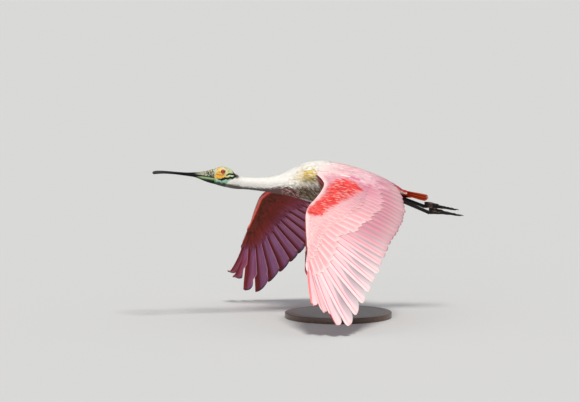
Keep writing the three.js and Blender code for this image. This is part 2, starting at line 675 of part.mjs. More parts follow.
// A round base with eased edges, and a rod with a collar that ends just under the belly.
function addStand() {
  const profile = [
    [0, 0],
    [BASE_RADIUS - BASE_EDGE / 2, 0],
    [BASE_RADIUS, BASE_EDGE / 2],
    [BASE_RADIUS, BASE_THICKNESS - BASE_EDGE],
    [BASE_RADIUS - BASE_EDGE, BASE_THICKNESS],
    [0, BASE_THICKNESS],
  ].map(([r, z]) => new THREE.Vector2(r, z));
  const base = solid(new THREE.LatheGeometry(profile, BASE_SIDES).rotateX(Math.PI / 2));
  addNode(stand, "stand_base", base, paint(WOOD, 0.4));
  const foot = BASE_THICKNESS + GAP;
  const height = SHOULDER_HEIGHT - foot;
  const shaft = new THREE.CylinderGeometry(ROD_RADIUS, ROD_RADIUS, height, ROD_SIDES);
  const collar = new THREE.CylinderGeometry(COLLAR_TOP, COLLAR_FOOT, COLLAR_HEIGHT, ROD_SIDES);
  shaft.rotateX(Math.PI / 2).translate(0, 0, foot + height / 2);
  collar.rotateX(Math.PI / 2).translate(0, 0, foot + COLLAR_HEIGHT / 2);
  const belly = torsoClearance.translate([-ROD_X, 0, SHOULDER_HEIGHT]);
  const pieces = solid(shaft).add(solid(collar)).subtract(belly).decompose();
  const lowest = pieces.sort((a, b) => a.boundingBox().min[2] - b.boundingBox().min[2])[0];
  addNode(stand, "stand_rod", lowest, paint(STEEL, 0.3, 0.9));
}
addStand();

export default model;
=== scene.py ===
"""A life-size roseate spoonbill in level flight on a plain stand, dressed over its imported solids."""

import math

import bpy
import numpy as np
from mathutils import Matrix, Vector


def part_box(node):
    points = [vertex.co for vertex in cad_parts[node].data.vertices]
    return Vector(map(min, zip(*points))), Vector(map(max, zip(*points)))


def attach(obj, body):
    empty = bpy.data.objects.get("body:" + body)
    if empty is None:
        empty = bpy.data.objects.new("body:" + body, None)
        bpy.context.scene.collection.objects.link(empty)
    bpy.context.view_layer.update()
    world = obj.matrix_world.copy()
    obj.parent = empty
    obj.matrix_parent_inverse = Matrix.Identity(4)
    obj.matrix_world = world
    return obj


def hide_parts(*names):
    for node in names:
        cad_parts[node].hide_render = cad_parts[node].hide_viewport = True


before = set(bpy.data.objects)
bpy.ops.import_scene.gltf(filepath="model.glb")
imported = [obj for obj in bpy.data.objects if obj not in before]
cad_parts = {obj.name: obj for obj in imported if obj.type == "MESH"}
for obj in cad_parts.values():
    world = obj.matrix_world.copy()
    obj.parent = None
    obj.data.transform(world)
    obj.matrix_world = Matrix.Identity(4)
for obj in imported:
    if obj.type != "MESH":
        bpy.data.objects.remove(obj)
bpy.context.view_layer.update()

# Sizes below are in millimetres, measured from the point midway between the shoulders,
# with the bill along -X, the bird's right side along +Y, and Z up.
MM = 0.001
SHOULDERS = np.array([-66.0, 0.0, 396.0])
GAP = 0.3
LEFT, RIGHT = -1, 1
SIDES = {"left": LEFT, "right": RIGHT}

# Upright sections of the body: X, top, underside, half width.
BODY = np.array([
    [-303, 35.5, -4.5, 12.6], [-294, 38.6, -7.4, 15.2], [-283, 41.6, -11, 17.6], [-271, 42.6, -14.4, 19],
    [-258, 38, -17.6, 19.4], [-246, 31, -20.4, 18.4], [-236, 22.6, -22, 17], [-226, 15.2, -23, 16],
    [-212, 11, -24.2, 15.4], [-192, 9.2, -26.6, 15.6], [-163, 8.2, -31.2, 17], [-135, 9, -36, 19.6],
    [-113, 13.2, -40, 23.4], [-93, 19.4, -44, 28.6], [-75, 27, -48.6, 34.6], [-58, 34.6, -54, 41],
    [-38, 43, -60.6, 48], [-14, 49, -68.4, 54], [12, 49.8, -76, 58], [42, 45.6, -83, 60],
    [76, 38, -87, 60], [110, 28.6, -86.6, 56.6], [145, 16.6, -81, 50.4], [180, 2.4, -73, 41.6],
    [210, -12.6, -66, 31.8], [232, -26, -61, 23.4], [244, -33.6, -58, 18], [256, -42.5, -60, 15],
    [270, -51.2, -60.8, 9],
])
WIDEST_SHARE = 0.57

# How deep the skin lies under the feathers' outer face, along X.
DEPTHS = np.array([
    [-303, 0], [-266, 0], [-238, 0.9], [-226, 1.6], [-190, 3], [-75, 5], [0, 7], [200, 6], [270, 3],
])

# Bill sections from its tip: X, gape line, half width, height above the gape, depth below it.
BILL = np.array([
    [-477.5, 31, 8.4, 2.3, 1.6], [-474, 32, 17.6, 2.5, 1.9], [-468, 33, 23.4, 2.6, 2.1],
    [-459, 33.4, 25.4, 2.7, 2.2], [-446, 32.8, 23.6, 2.8, 2.3], [-430, 31.2, 18.6, 3, 2.5],
    [-414, 29.2, 12.8, 3.3, 2.8], [-398, 27, 9.4, 3.8, 3.2], [-378, 24.2, 8.6, 4.8, 3.8],
    [-356, 20.8, 9, 8, 4.8], [-336, 17.8, 10.2, 12.2, 10.4], [-318, 15, 11.4, 17.4, 15],
    [-303, 12.6, 12.6, 23, 17.2],
])

# Ribs of the wing from the outermost primary, number 0, to the innermost tertial, number 25:
# number, a point of the leading edge and a feather's tip as X, distance from the mid-line and Z,
# the bow between them, the flesh's thickness, and the share of the line that it covers.
RIBS = np.array([
    [0, -113, 262, -165, -134, 380, -313, -12, 6, 0.24],
    [1, -111, 256, -155, -109, 404, -331, -12, 6.4, 0.24],
    [2, -109, 250, -145, -75, 411, -362, -11, 6.8, 0.24],
    [3, -107, 244, -135, -37, 410, -364, -10, 7.2, 0.24],
    [4, -105, 238, -125, -6, 389, -337, -9, 7.6, 0.26],
    [6, -101, 226, -106, 43, 346, -277, -5, 9, 0.3],
    [9, -94, 208, -78, 95, 300, -211, 2, 12, 0.36],
    [12, -79, 189, -59, 135, 255, -160, 9, 15, 0.42],
    [15, -47, 155, -42, 170, 214, -131, 14, 16, 0.46],
    [18, -14, 110, -25, 198, 172, -111, 17, 19, 0.5],
    [21, 3, 78, -10, 219, 131, -88, 18, 24, 0.52],
    [23, -2, 58, 5, 227, 97, -64, 18, 28, 0.54],
    [25, -14, 42, 15, 228, 62, -42, 17, 30, 0.55],
])
LAST_RIB = 25
FLESH_EDGE = 2.6
FLESH_FULLNESS = 1.3

# Eyes
EYE = np.array([-277.6, 12.0, 27.8])
EYE_RADIUS = 8.2
EYE_AXIS = np.array([-0.12, 0.9, 0.41])
SOCKET_PLAY = 0.15
LID_ANGLE = 1.0

# Legs: knee, ankle and foot joint as X, distance from the mid-line and Z, and the toes' droop.
LEGS = {
    "left": {"path": [(125, 33, -64), (232, 23, -65), (327, 22, -107.6)], "droop": 0.11},
    "right": {"path": [(125, 33, -58), (232, 23, -57), (328, 22, -95.5)], "droop": 0.12},
}
# Toes: length, lean outwards, height of the root, further droop, and number of joints.
TOES = {
    "inner": (76, -0.05, 6.4, 0.06, 2),
    "middle": (94, 0, -0.6, 0, 3),
    "outer": (84, 0.07, 3.4, 0.03, 4),
    "hind": (34, -0.015, 9.6, 0, 1),
}

# Tail
TAIL_ROOT = np.array([244.3, 0, -42.4])
TAIL_SLOPE = 0.225
TAIL_ROLL = 0.13

# Stand
ROD_RADIUS = 5
BASE_RADIUS = 150
BASE_THICKNESS = 16

# Camera, picture and stage, with distances from the camera and over the floor in metres
PICTURE = (580, 402)
MM_PER_PIXEL = 2.8
SHOULDERS_AT = (316, 178)
CAMERA_AZIMUTH = -18
CAMERA_ELEVATION = 7
CAMERA_DISTANCE = 40.0
SENSOR_MM = 36
FLOOR_REACH = 150.0
ROOM_COLOUR = (0.93, 0.95, 1.0)
ROOM_STRENGTH = 0.45


def along(rows, place):
    """Smooth values between rows that start with their place: a cubic through every row."""
    x, y = rows[:, 0], rows[:, 1:]
    place = np.asarray(place, float)
    i = np.clip(np.searchsorted(x, place) - 1, 0, len(x) - 2)
    slopes = np.empty_like(y)
    slopes[1:-1] = (y[2:] - y[:-2]) / (x[2:] - x[:-2])[:, None]
    slopes[0] = (y[1] - y[0]) / (x[1] - x[0])
    slopes[-1] = (y[-1] - y[-2]) / (x[-1] - x[-2])
    span = (x[i + 1] - x[i])[..., None]
    f = ((place - x[i])[..., None]) / span
    p, q, m, w = y[i], y[i + 1], slopes[i] * span, slopes[i + 1] * span
    return (2 * p - 2 * q + m + w) * f**3 + (3 * q - 3 * p - 2 * m - w) * f**2 + m * f + p


def line(rows, place):
    """Straight interpolation between rows of a place and a value."""
    return np.interp(place, *np.array(rows, float).T)


def smooth(low, high, value):
    """0 below low, 1 above high, and an even curve between them."""
    f = np.clip((np.asarray(value, float) - low) / (high - low), 0, 1)
    return f * f * (3 - 2 * f)


def hump(*offsets):
    """1 where all offsets, each in widths of its own, are 0, and falling off round it."""
    return np.exp(-sum(offset**2 for offset in offsets))


def unit(v):
    return v / np.maximum(np.linalg.norm(v, axis=-1, keepdims=True), 1e-9)


def other_chance(chance, factor):
    """Another even number from 0 to 1, made from the first."""
    return np.mod(chance * factor, 1)


def blend(a, b, share):
    share = np.asarray(share)[..., None]
    return np.asarray(a) * (1 - share) + np.asarray(b) * share


def rgb(*eight_bit):
    """A colour as the eye reads it, in 0 to 255, as linear light."""
    c = np.array(eight_bit, float) / 255
    return np.where(c <= 0.04045, c / 12.92, ((c + 0.055) / 1.055) ** 2.4)


def paint(tone, *layers):
    """A tone under layers, each a share and the eight-bit colour that it covers with."""
    for share, *colour in layers:
        tone = blend(tone, rgb(*colour), share)
    return tone


def varied(tone, chance, reach):
    """Each feather a little lighter or darker than its tone."""
    return tone * (1 + (chance - 0.5) * reach)[..., None]


def mirrored(point, side):
    return np.array(point) * np.array([1, side, 1])


def circle(count):
    """The turns of evenly parted points round a circle."""
    return np.arange(count) * 2 * np.pi / count


def body_point(x, turn, inset=0.0):
    """A point of the body's surface: turn 0 is its right side, a quarter turn its top."""
    x, turn, inset = np.broadcast_arrays(np.asarray(x, float), turn, inset)
    top, underside, half = np.moveaxis(along(BODY, x), -1, 0)
    widest = underside + (top - underside) * WIDEST_SHARE
    height = np.where(np.sin(turn) > 0, top - widest, widest - underside)
    y = (half - inset) * np.cos(turn)
    return np.stack([x, y, widest + (height - inset) * np.sin(turn)], -1)


def body_normal(x, turn):
    step = 1e-2
    lengthwise = body_point(x + 50 * step, turn) - body_point(x - 50 * step, turn)
    around = body_point(x, turn + step) - body_point(x, turn - step)
    return unit(np.cross(lengthwise, around) * -1)


def wing_point(k, t, side):
    """A point of the wing's middle surface at a rib number and a share of the way back."""
    k, t = np.broadcast_arrays(np.asarray(k, float), np.asarray(t, float))
    row, a, b = along(RIBS, k), along(RIBS, k - 0.5), along(RIBS, k + 0.5)
    lead, trail, bow = row[..., 0:3], row[..., 3:6], row[..., 6]
    chord = trail - lead
    outward = a[..., 0:3] - b[..., 0:3] + a[..., 3:6] - b[..., 3:6]
    up = unit(np.cross(chord, outward))
    point = lead + chord * t[..., None] + up * (bow * 4 * t * (1 - t))[..., None]
    return point * np.array([1, side, 1])


def wing_normal(k, t, side):
    step = 0.02
    back = wing_point(k, t + step, side) - wing_point(k, t - step, side)
    outward = wing_point(k - step, t, side) - wing_point(k + step, t, side)
    return unit(np.cross(back, outward) * side)


def flesh_half(k, t):
    """Half the thickness of the wing's flesh, which runs out smoothly behind its edge."""
    thick, reach = np.moveaxis(along(RIBS, k)[..., 7:9], -1, 0)
    share = np.clip(t / reach, 0, 1)
    body = FLESH_EDGE / 2 + FLESH_FULLNESS * thick * np.sqrt(share) * (1 - share)
    return body * (1 - 0.75 * smooth(0.9, 1.5, t / reach))


def curl(k, t):
    """How far the outermost tips curl up."""
    end = np.clip((t - 0.88) / 0.12, 0, 1)
    return 12 * np.clip(1 - k / 2.4, 0, 1) * end**2


def over_wing(k, t, height, side):
    rise = np.asarray(height) + curl(k, t)
    return wing_point(k, t, side) + wing_normal(k, t, side) * rise[..., None]


def rib_spacing(k, t):
    """Millimetres between neighbouring ribs, square to the feathers."""
    across = wing_point(k - 0.5, t, 1) - wing_point(k + 0.5, t, 1)
    back = unit(wing_point(k, t + 0.02, 1) - wing_point(k, t - 0.02, 1))
    across = across - back * (across * back).sum(-1, keepdims=True)
    return np.linalg.norm(across, axis=-1)


def rib_length(k):
    """Millimetres from the leading edge to a feather's tip."""
    row = along(RIBS, k)
    return np.linalg.norm(row[..., 3:6] - row[..., 0:3], axis=-1)


# Meshes


def link(mesh, name):
    piece = bpy.data.objects.new(name, mesh)
    bpy.context.scene.collection.objects.link(piece)
    return piece


def mesh_piece(name, points, quads, uv=None):
    """An object from points in millimetres and faces of four corners (or three, the last one -1)."""
    kept = quads >= 0
    sizes = kept.sum(1)
    corners = quads[kept]
    mesh = bpy.data.meshes.new(name)
    mesh.vertices.add(len(points))
    mesh.vertices.foreach_set("co", ((points + SHOULDERS) * MM).astype(np.float32).ravel())
    mesh.loops.add(len(corners))
    mesh.loops.foreach_set("vertex_index", corners.astype(np.int32))
    mesh.polygons.add(len(sizes))
    starts = np.concatenate([[0], np.cumsum(sizes)[:-1]])
    mesh.polygons.foreach_set("loop_start", starts.astype(np.int32))
    mesh.polygons.foreach_set("use_smooth", np.ones(len(sizes), bool))
    mesh.update(calc_edges=True)
    if uv is not None:
        mesh.uv_layers.new(name="OFBake").uv.foreach_set("vector", uv.astype(np.float32).ravel())
    return link(mesh, name)


def paint_points(mesh, tones, **vectors):
    """Writes a tone, and vectors under their own names, at every point of a mesh."""
    colour = np.concatenate([tones, np.ones((len(tones), 1))], 1)
    kinds = [("tone", "FLOAT_COLOR", "color", colour)]
    kinds += [(name, "FLOAT_VECTOR", "vector", values) for name, values in vectors.items()]
    for name, kind, key, values in kinds:
        mesh.attributes.new(name, kind, "POINT").data.foreach_set(key, values.astype(np.float32).ravel())


def finish_piece(piece, material, slot_name, *replaced):
    """Gives a piece its material, hangs it from the root, and hides the CAD parts that it stands for."""
    piece.data.materials.clear()
    piece.data.materials.append(material)
    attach(piece, "root")
    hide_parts(*replaced)


def lens(rows, columns):
    """The quads of a closed thin leaf: an upper grid, and a lower one that shares its border."""
    inner = (rows - 2) * (columns - 2)
    upper = np.arange(rows * columns).reshape(1, rows, columns, 1)
    lower = upper.copy()
    lower[:, 1:-1, 1:-1] = rows * columns + np.arange(inner).reshape(1, rows - 2, columns - 2, 1)
    facing_up, facing_down = corner_grid(upper)[0], corner_grid(lower)[1]
    return np.concatenate([facing_up, facing_down], 1)[0, ..., 0], rows * columns, inner


def corner_grid(values):
    """What each corner of a grid's quads gets, for quads that face up and for quads that face down."""
    a, b, c, d = values[:, :-1, :-1], values[:, 1:, :-1], values[:, 1:, 1:], values[:, :-1, 1:]
    shape = (len(values), -1, 4, values.shape[-1])
    return np.stack([a, b, c, d], 3).reshape(shape), np.stack([a, d, c, b], 3).reshape(shape)


def feathers(name, faces, tones, leaf, uv, spans=None, flip=False):
    """A joined mesh of closed thin feathers: upper and lower faces as grids of points, N by rows by
    columns, with their tones, patches of the unwrap and spans, and the leaf's v, u and chances."""
    n, rows, columns = faces[0].shape[:3]
    quads, outer_count, inner_count = lens(rows, columns)
    count = outer_count + inner_count

    def both(pair):
        a, b = (np.broadcast_to(values, (n, rows, columns, 3)) for values in pair[:: -1 if flip else 1])
        b = b[:, 1:-1, 1:-1].reshape(n, inner_count, 3)
        return np.concatenate([a.reshape(n, outer_count, 3), b], 1).reshape(n * count, 3)

    v, u, chance = leaf
    vane = np.stack(np.broadcast_arrays(u, v, chance), -1)
    vectors = {"vane": both((vane, vane))}
    if spans:
        vectors["span"] = both(spans)
    corners = [corner_grid(values)[face] for face, values in enumerate(uv)]
    order = (quads[None] + (np.arange(n) * count)[:, None, None]).reshape(-1, 4)
    piece = mesh_piece(name, both(faces), order, np.concatenate(corners, 1))
    paint_points(piece.data, both(tones), **vectors)
    on_border = np.ones((rows, columns), bool)
    on_border[1:-1, 1:-1] = False
    crease(piece.data, np.tile(np.append(on_border, np.zeros(inner_count, bool)), n))
    return piece


def leaf_grid(rows, columns):
    """Shares of a feather's length from its root, and places across its vane."""
    return np.linspace(0, 1, rows)[:, None], np.linspace(-1, 1, columns)


def two_faces(surface, normal, height, half):
    """The upper and the lower face of a thin leaf that lies at a height over a surface."""
    return [surface + normal * (height + way * half)[..., None] for way in (1, -1)]


def crease(mesh, on_border):
    """Makes the edges between border points sharp, so that a leaf's two faces are shaded apart."""
    ends = np.empty(len(mesh.edges) * 2, np.int32)
    mesh.edges.foreach_get("vertices", ends)
    sharp = on_border[ends.reshape(-1, 2)].all(1)
    mesh.attributes.new("sharp_edge", "BOOLEAN", "EDGE").data.foreach_set("value", sharp)


def patches(across, lengthwise, v, u, size, shift):
    """A small patch of the unwrap at each feather's root for its upper face, and one beside it."""
    centre_u, centre_v = (np.clip(values, 0.01, 0.985) for values in (across, lengthwise))
    uv = np.stack(np.broadcast_arrays(centre_u + size * 0.5 * u, centre_v + size * (v - 0.5)), -1)
    return uv, uv + [shift, 0]


def strips(count, v, u):
    """A strip of its own for the upper and the lower face of each of a few large feathers."""
    width = 1 / (2 * count)
    left = (2 * np.arange(count) + np.array([[0], [1]])) * width
    across = left[..., None, None] + width * (0.5 + 0.46 * u)
    return np.stack(np.broadcast_arrays(across, 0.02 + 0.96 * v), -1)


# Materials


def put(socket, value):
    """Links a field to a socket, or sets the socket to a number or a colour."""
    if isinstance(value, Field):
        value.tree.links.new(value.socket, socket)
    elif socket.type == "RGBA":
        socket.default_value = (*value, 1)
    else:
        socket.default_value = value


def add_node(tree, kind, inputs, output=0, **settings):
    """What a new node gives, with its inputs by name or number."""
    node = tree.nodes.new("ShaderNode" + kind)
    for key, value in settings.items():
        setattr(node, key, value)
    for key, value in inputs.items():
        put(node.inputs[key], value)
    return Field(tree, node.outputs[output])


class Field:
    """A number, colour or place in a material's nodes. Sums and products of fields add nodes."""

    def __init__(self, tree, socket):
        self.tree, self.socket = tree, socket

    def math(self, operation, a, b, clamp=False):
        return add_node(self.tree, "Math", {0: a, 1: b}, operation=operation, use_clamp=clamp)

    def __add__(self, other):
        return self.math("ADD", self, other)

    def __sub__(self, other):
        return self.math("SUBTRACT", self, other)

    def __rsub__(self, other):
        return self.math("SUBTRACT", other, self)

    def __mul__(self, other):
        return self.math("MULTIPLY", self, other)

    def __truediv__(self, other):
        return self.math("DIVIDE", self, other)

    def __abs__(self):
        return self.math("ABSOLUTE", self, 0)

    def fading(self, reach):
        """1 where this is 0, down to 0 at its reach."""
        return self.math("SUBTRACT", 1.0, self / reach, True)

    def split(self):
        first = add_node(self.tree, "SeparateXYZ", {0: self})
        return [Field(self.tree, socket) for socket in first.socket.node.outputs]

    def noise(self, scale, detail=3, roughness=0.55, distortion=0):
        inputs = {"Vector": self, "Scale": scale, "Detail": detail, "Roughness": roughness}
        return add_node(self.tree, "TexNoise", inputs | {"Distortion": distortion})

    def cells(self, scale, feature="F1"):
        return add_node(self.tree, "TexVoronoi", {"Vector": self, "Scale": scale}, feature=feature)

    def ramp(self, *stops):
        """This value run through stops of place and level."""
        made = add_node(self.tree, "ValToRGB", {0: self})
        elements = made.socket.node.color_ramp.elements
        while len(elements) < len(stops):
            elements.new(0.5)
        for element, (at, level) in zip(elements, stops):
            element.position = at
            element.color = (level, level, level, 1)
        return made

    def stretch(self, *factors):
        return add_node(self.tree, "VectorMath", {0: self, 1: factors}, operation="MULTIPLY")

    def shifted(self, field):
        return add_node(self.tree, "VectorMath", {0: self, 1: field}, operation="ADD")

    def bump(self, distance_mm, strength):
        """Relief by this height, for a shader's normal."""
        inputs = {"Strength": strength, "Distance": distance_mm * MM, "Height": self}
        return add_node(self.tree, "Bump", inputs)

    def mix(self, share, colour, mode="MIX"):
        """This colour, and as much of another as the share says."""
        return mix(self.tree, share, self, colour, mode)

    def tinted(self, share, tint):
        """This colour, multiplied by a tint as much as the share says."""
        return self.mix(share, self.mix(1.0, tint, "MULTIPLY"))


def mix(tree, share, a, b, mode="MIX"):
    return add_node(tree, "Mix", {0: share, 6: a, 7: b}, 2, data_type="RGBA", blend_type=mode)


def join(x, y, z):
    return add_node(x.tree, "CombineXYZ", {0: x, 1: y, 2: z})


def attribute(tree, name, output="Vector"):
    return add_node(tree, "Attribute", {}, output, attribute_name=name)


def object_place(tree):
    return add_node(tree, "TexCoord", {}, "Object")


def new_tree(name):
    material = bpy.data.materials.new(name)
    material.use_nodes = True
    material.node_tree.nodes.clear()
    return material.node_tree, material


def shaded(material, **sockets):
    """The material with a shader that has these sockets fed."""
    tree = material.node_tree
    inputs = {name.replace("_", " "): value for name, value in sockets.items()}
    shader = add_node(tree, "BsdfPrincipled", inputs)
    put(tree.nodes.new("ShaderNodeOutputMaterial").inputs[0], shader)
    return material


def feather_material(name, barbs, shaft, shaft_width=0.06, shaft_share=0.8, fringe=0.25, sheen=0.25,
                     deep=(0.72, 0.6, 0.62)):
    """Feathers in their own tones, with barbs, a shaft and a paler fringe."""
    tree, material = new_tree(name)
    across, lengthwise, chance = attribute(tree, "vane").split()
    off = abs(across)
    seed = chance * 37.0
    slant = lengthwise * barbs + off * (-barbs * 0.12)
    fine = join(slant, across * 1.5, seed).noise(1.0, 2)
    coarse = join(lengthwise * 4, across, seed).noise(1.2, 3)
    on_shaft = off.fading(shaft_width) * lengthwise.ramp((0, 1), (0.75, 0.85), (0.97, 0.1))
    tone = attribute(tree, "tone", "Color")
    tone = tone.tinted(fine.ramp((0.3, 0), (0.75, 0.3)), deep)
    tone = tone.tinted(coarse.ramp((0.35, 0), (0.7, 0.22)), deep)
    tone = tone.mix(off.ramp((0.72, 0), (1.0, 1)) * fringe, (0.95, 0.88, 0.85))
    tone = tone.mix(on_shaft * shaft_share, shaft)
    relief = fine * 0.5 + on_shaft * 0.8
    return shaded(material, Base_Color=tone, Roughness=fine * 0.25 + 0.5, Normal=relief.bump(0.5, 0.8),
                  Sheen_Weight=sheen, Sheen_Roughness=0.5, Specular_IOR_Level=0.05 + 0.8 * sheen)


def quill_material():
    """Flight feathers: red shafts, dark red under as painted shade, grey wedges of painted shade towards the
    tips, stained rims, and barbs.
    """
    tree, material = new_tree("wing_quills")
    across_share, _, chance = attribute(tree, "vane").split()
    across, in_wedge, tip_way = attribute(tree, "span").split()
    seed = chance * 37.0
    off = abs(across)
    over = tip_way.math("GREATER_THAN", tip_way, -0.5)
    under = 1.0 - over
    from_tip = tip_way.math("MAXIMUM", tip_way, tip_way * -1.0 - 1.0)
    barbs = join(from_tip * 0.9 - off * 0.8, across * 0.06, seed).noise(1.0, 2)
    cloud = join(from_tip * 0.05, across * 0.16, seed).noise(1.0, 3)
    tone = attribute(tree, "tone", "Color")
    tone = tone.tinted(barbs.ramp((0.35, 0), (0.75, 0.3)), (0.84, 0.7, 0.72))
    tone = tone.tinted(cloud.ramp((0.4, 0), (0.7, 0.35)), (0.9, 0.78, 0.8))
    streaks = join(from_tip * 0.012, across * 0.5, seed).noise(1.0, 3)
    tone = tone.tinted(streaks.ramp((0.4, 0), (0.62, 0.75)) * under, (0.62, 0.45, 0.5))

    # Painted shade: a grey wedge where the vane lies in one layer, darkest at the next feather's edge.
    frayed = in_wedge + (barbs - 0.5) * 2.0
    wedge_shade = mix(tree, (in_wedge * 0.08).ramp((0, 0), (1, 1)), rgb(190, 170, 176), rgb(164, 146, 153))
    wedge_shade = wedge_shade.mix((from_tip / 90.0).ramp((0.05, 0.55), (0.8, 0)), rgb(228, 208, 213))
    tone = tone.mix((frayed * 0.5).ramp((0.0, 0), (0.5, 1)) * over * 0.9, wedge_shade)

    stain = join(from_tip * 0.2, across * 0.2, seed).noise(1.0, 2).ramp((0.52, 0), (0.62, 1))
    stain = stain * (from_tip / 8.0).ramp((0.1, 1), (1.0, 0)) * over
    rim = (from_tip / 5.0).ramp((0.1, 1), (0.6, 0)) * over
    tone = tone.mix(rim * 0.7, rgb(255, 232, 206)).mix(stain * 0.6, rgb(206, 132, 84))
    lit_edge = across_share.ramp((0.9, 0), (0.97, 1)) * under * (from_tip / 150.0).ramp((0.1, 0), (0.3, 0.6))
    tone = tone.mix(lit_edge, rgb(232, 170, 190))
    on_shaft = off.fading(1.6).ramp((0.0, 0), (0.5, 1))
    # Shafts are pale red above and dark red below, the dark a painted shade.
    ink = mix(tree, over, rgb(104, 8, 14), rgb(252, 108, 122))
    tone = tone.mix(on_shaft * (from_tip / 90.0).ramp((0.03, 0.25), (0.5, 0.9)), ink)
    relief = barbs * 0.5 + on_shaft * 0.8
    return shaded(material, Base_Color=tone, Roughness=barbs * 0.2 + 0.5, Normal=relief.bump(0.4, 0.8),
                  Sheen_Weight=0.15, Sheen_Roughness=0.5, Specular_IOR_Level=0.25)


# Wing feathers

# Below, k is a rib's number, t a share of the way from the leading edge to a feather's tip, v a share
# of a feather's length from its root, and u a place across its vane, from -1 to 1.

# Tips of the tiers as shares of the wing's depth: rib, share.
GREATER_TIPS = [
    [0, 0.39], [4, 0.42], [6, 0.465], [9.4, 0.47], [11, 0.59], [14, 0.67], [18, 0.73], [26, 0.7],
]
MEDIAN_TIPS = [[0, 0.2], [4, 0.22], [7, 0.27], [9.4, 0.31], [12, 0.42], [16, 0.5], [26, 0.5]]
UNDER_TIPS = [[0, 0.4], [4, 0.42], [9.4, 0.48], [12, 0.57], [18, 0.63], [26, 0.58]]
UNDER_MEDIAN_TIPS = [[0, 0.2], [9.4, 0.26], [12, 0.36], [18, 0.42], [26, 0.4]]


def tip_outline(v, tip_start):
    """Share of a vane's width along its length: narrow at the quill, full, and rounded at the tip."""
    root = smooth(-0.02, 0.16, v) * 0.55 + 0.45
    end = np.clip((v - tip_start) / (1 - tip_start), 0, 1)
    return root * np.sqrt(1 - end**2)


# Most reach of the trailing vanes in millimetres. The tables after it start with the rib, and give
# millimetres: reach of the leading vanes, and how far back the vanes' rounding starts.
TRAILING_VANE = 34
LEADING_VANE = [[0, 4], [3, 9.5], [26, 9.5]]
LEADING_ROUND = {
    LEFT: [[0, 1.5], [1, 3], [2, 7], [3, 16], [8, 20], [11, 9], [26, 7]],
    RIGHT: [[0, 1.5], [1, 2], [2, 2.5], [3, 3], [4, 6], [6, 12], [11, 9], [26, 7]],
}
TRAILING_ROUND = {
    LEFT: [[0, 4], [1, 5], [2, 30], [5, 38], [8, 30], [11, 14], [26, 11]],
    RIGHT: [[0, 4], [1, 5], [2, 34], [3, 30], [4, 21], [8, 19], [11, 14], [26, 11]],
}
# Rib and millimetres that the grey wedge of painted shade reaches into the trailing vane.
SHADED_WEDGE_WIDTH = [[0, -5], [1, -3], [2, 8], [3, 16], [5, 18], [7, 13], [9, 8], [12, 3], [15, -3], [26, -60]]
# Rib and share of its length that a feather gains, and how slantwise its end is cut.
EXTRA_LENGTH = {
    LEFT: [[0, 0.036], [1, -0.006], [2, 0], [26, 0]],
    RIGHT: [[0, 0.024], [1, 0], [2, 0.026], [3, 0.026], [4, 0.004], [6, 0], [26, 0]],
}
SLANT = {
    LEFT: [[0, 0.3], [1, 0.12], [2, 0], [26, 0]],
    RIGHT: [[0, 0.1], [1, 0.45], [2, 0.3], [3, 0.24], [4, 0.1], [6, 0], [26, 0]],
}
# Rib and share by which the trailing vane narrows near the tip, and over which millimetres it does.
NOTCH = {
    LEFT: [[0, 0.0], [1, 0.1], [2, 0.24], [3, 0.2], [5, 0.08], [8, 0], [26, 0]],
    RIGHT: [[0, 0.3], [1, 0.34], [2, 0.4], [3, 0.12], [4, 0.04], [6, 0], [26, 0]],
}
NOTCH_DEPTH = {LEFT: (44, 26), RIGHT: (72, 48)}
# Rows and columns of a flight feather's faces.
QUILL_GRID = (44, 13)


def rounded(from_tip, reach):
    return (1 - np.clip(1 - from_tip / reach, 0, 1) ** 2.6) ** (1 / 2.2)


def vane_reach(k, spacing, from_tip, side):
    """Millimetres that the leading and the trailing vane of a flight feather reach at most."""
    lead = np.minimum(line(LEADING_VANE, k), 0.42 * spacing + 2)
    trail = np.minimum(TRAILING_VANE, np.maximum(0.96 * spacing - 1, 0.7 * spacing))
    return lead, trail * (1 - line(NOTCH[side], k) * smooth(*NOTCH_DEPTH[side], from_tip))


def quill_span(k, t, spacing, lead, across, from_tip):
    """Millimetres of each point from its shaft, into the grey wedge of painted shade, and from the feather's
    tip.
    """
    wedge = line(SHADED_WEDGE_WIDTH, k) * smooth(0.5, 0.82, t)
    unstained = 12 * (smooth(1.6, 1.2, k) + smooth(8, 10, k))
    thin_shafts = 1 + 0.7 * smooth(8, 12, k)
    span = across * thin_shafts, across - (spacing - lead - wedge), from_tip + unstained
    return np.stack(np.broadcast_arrays(*span), -1)


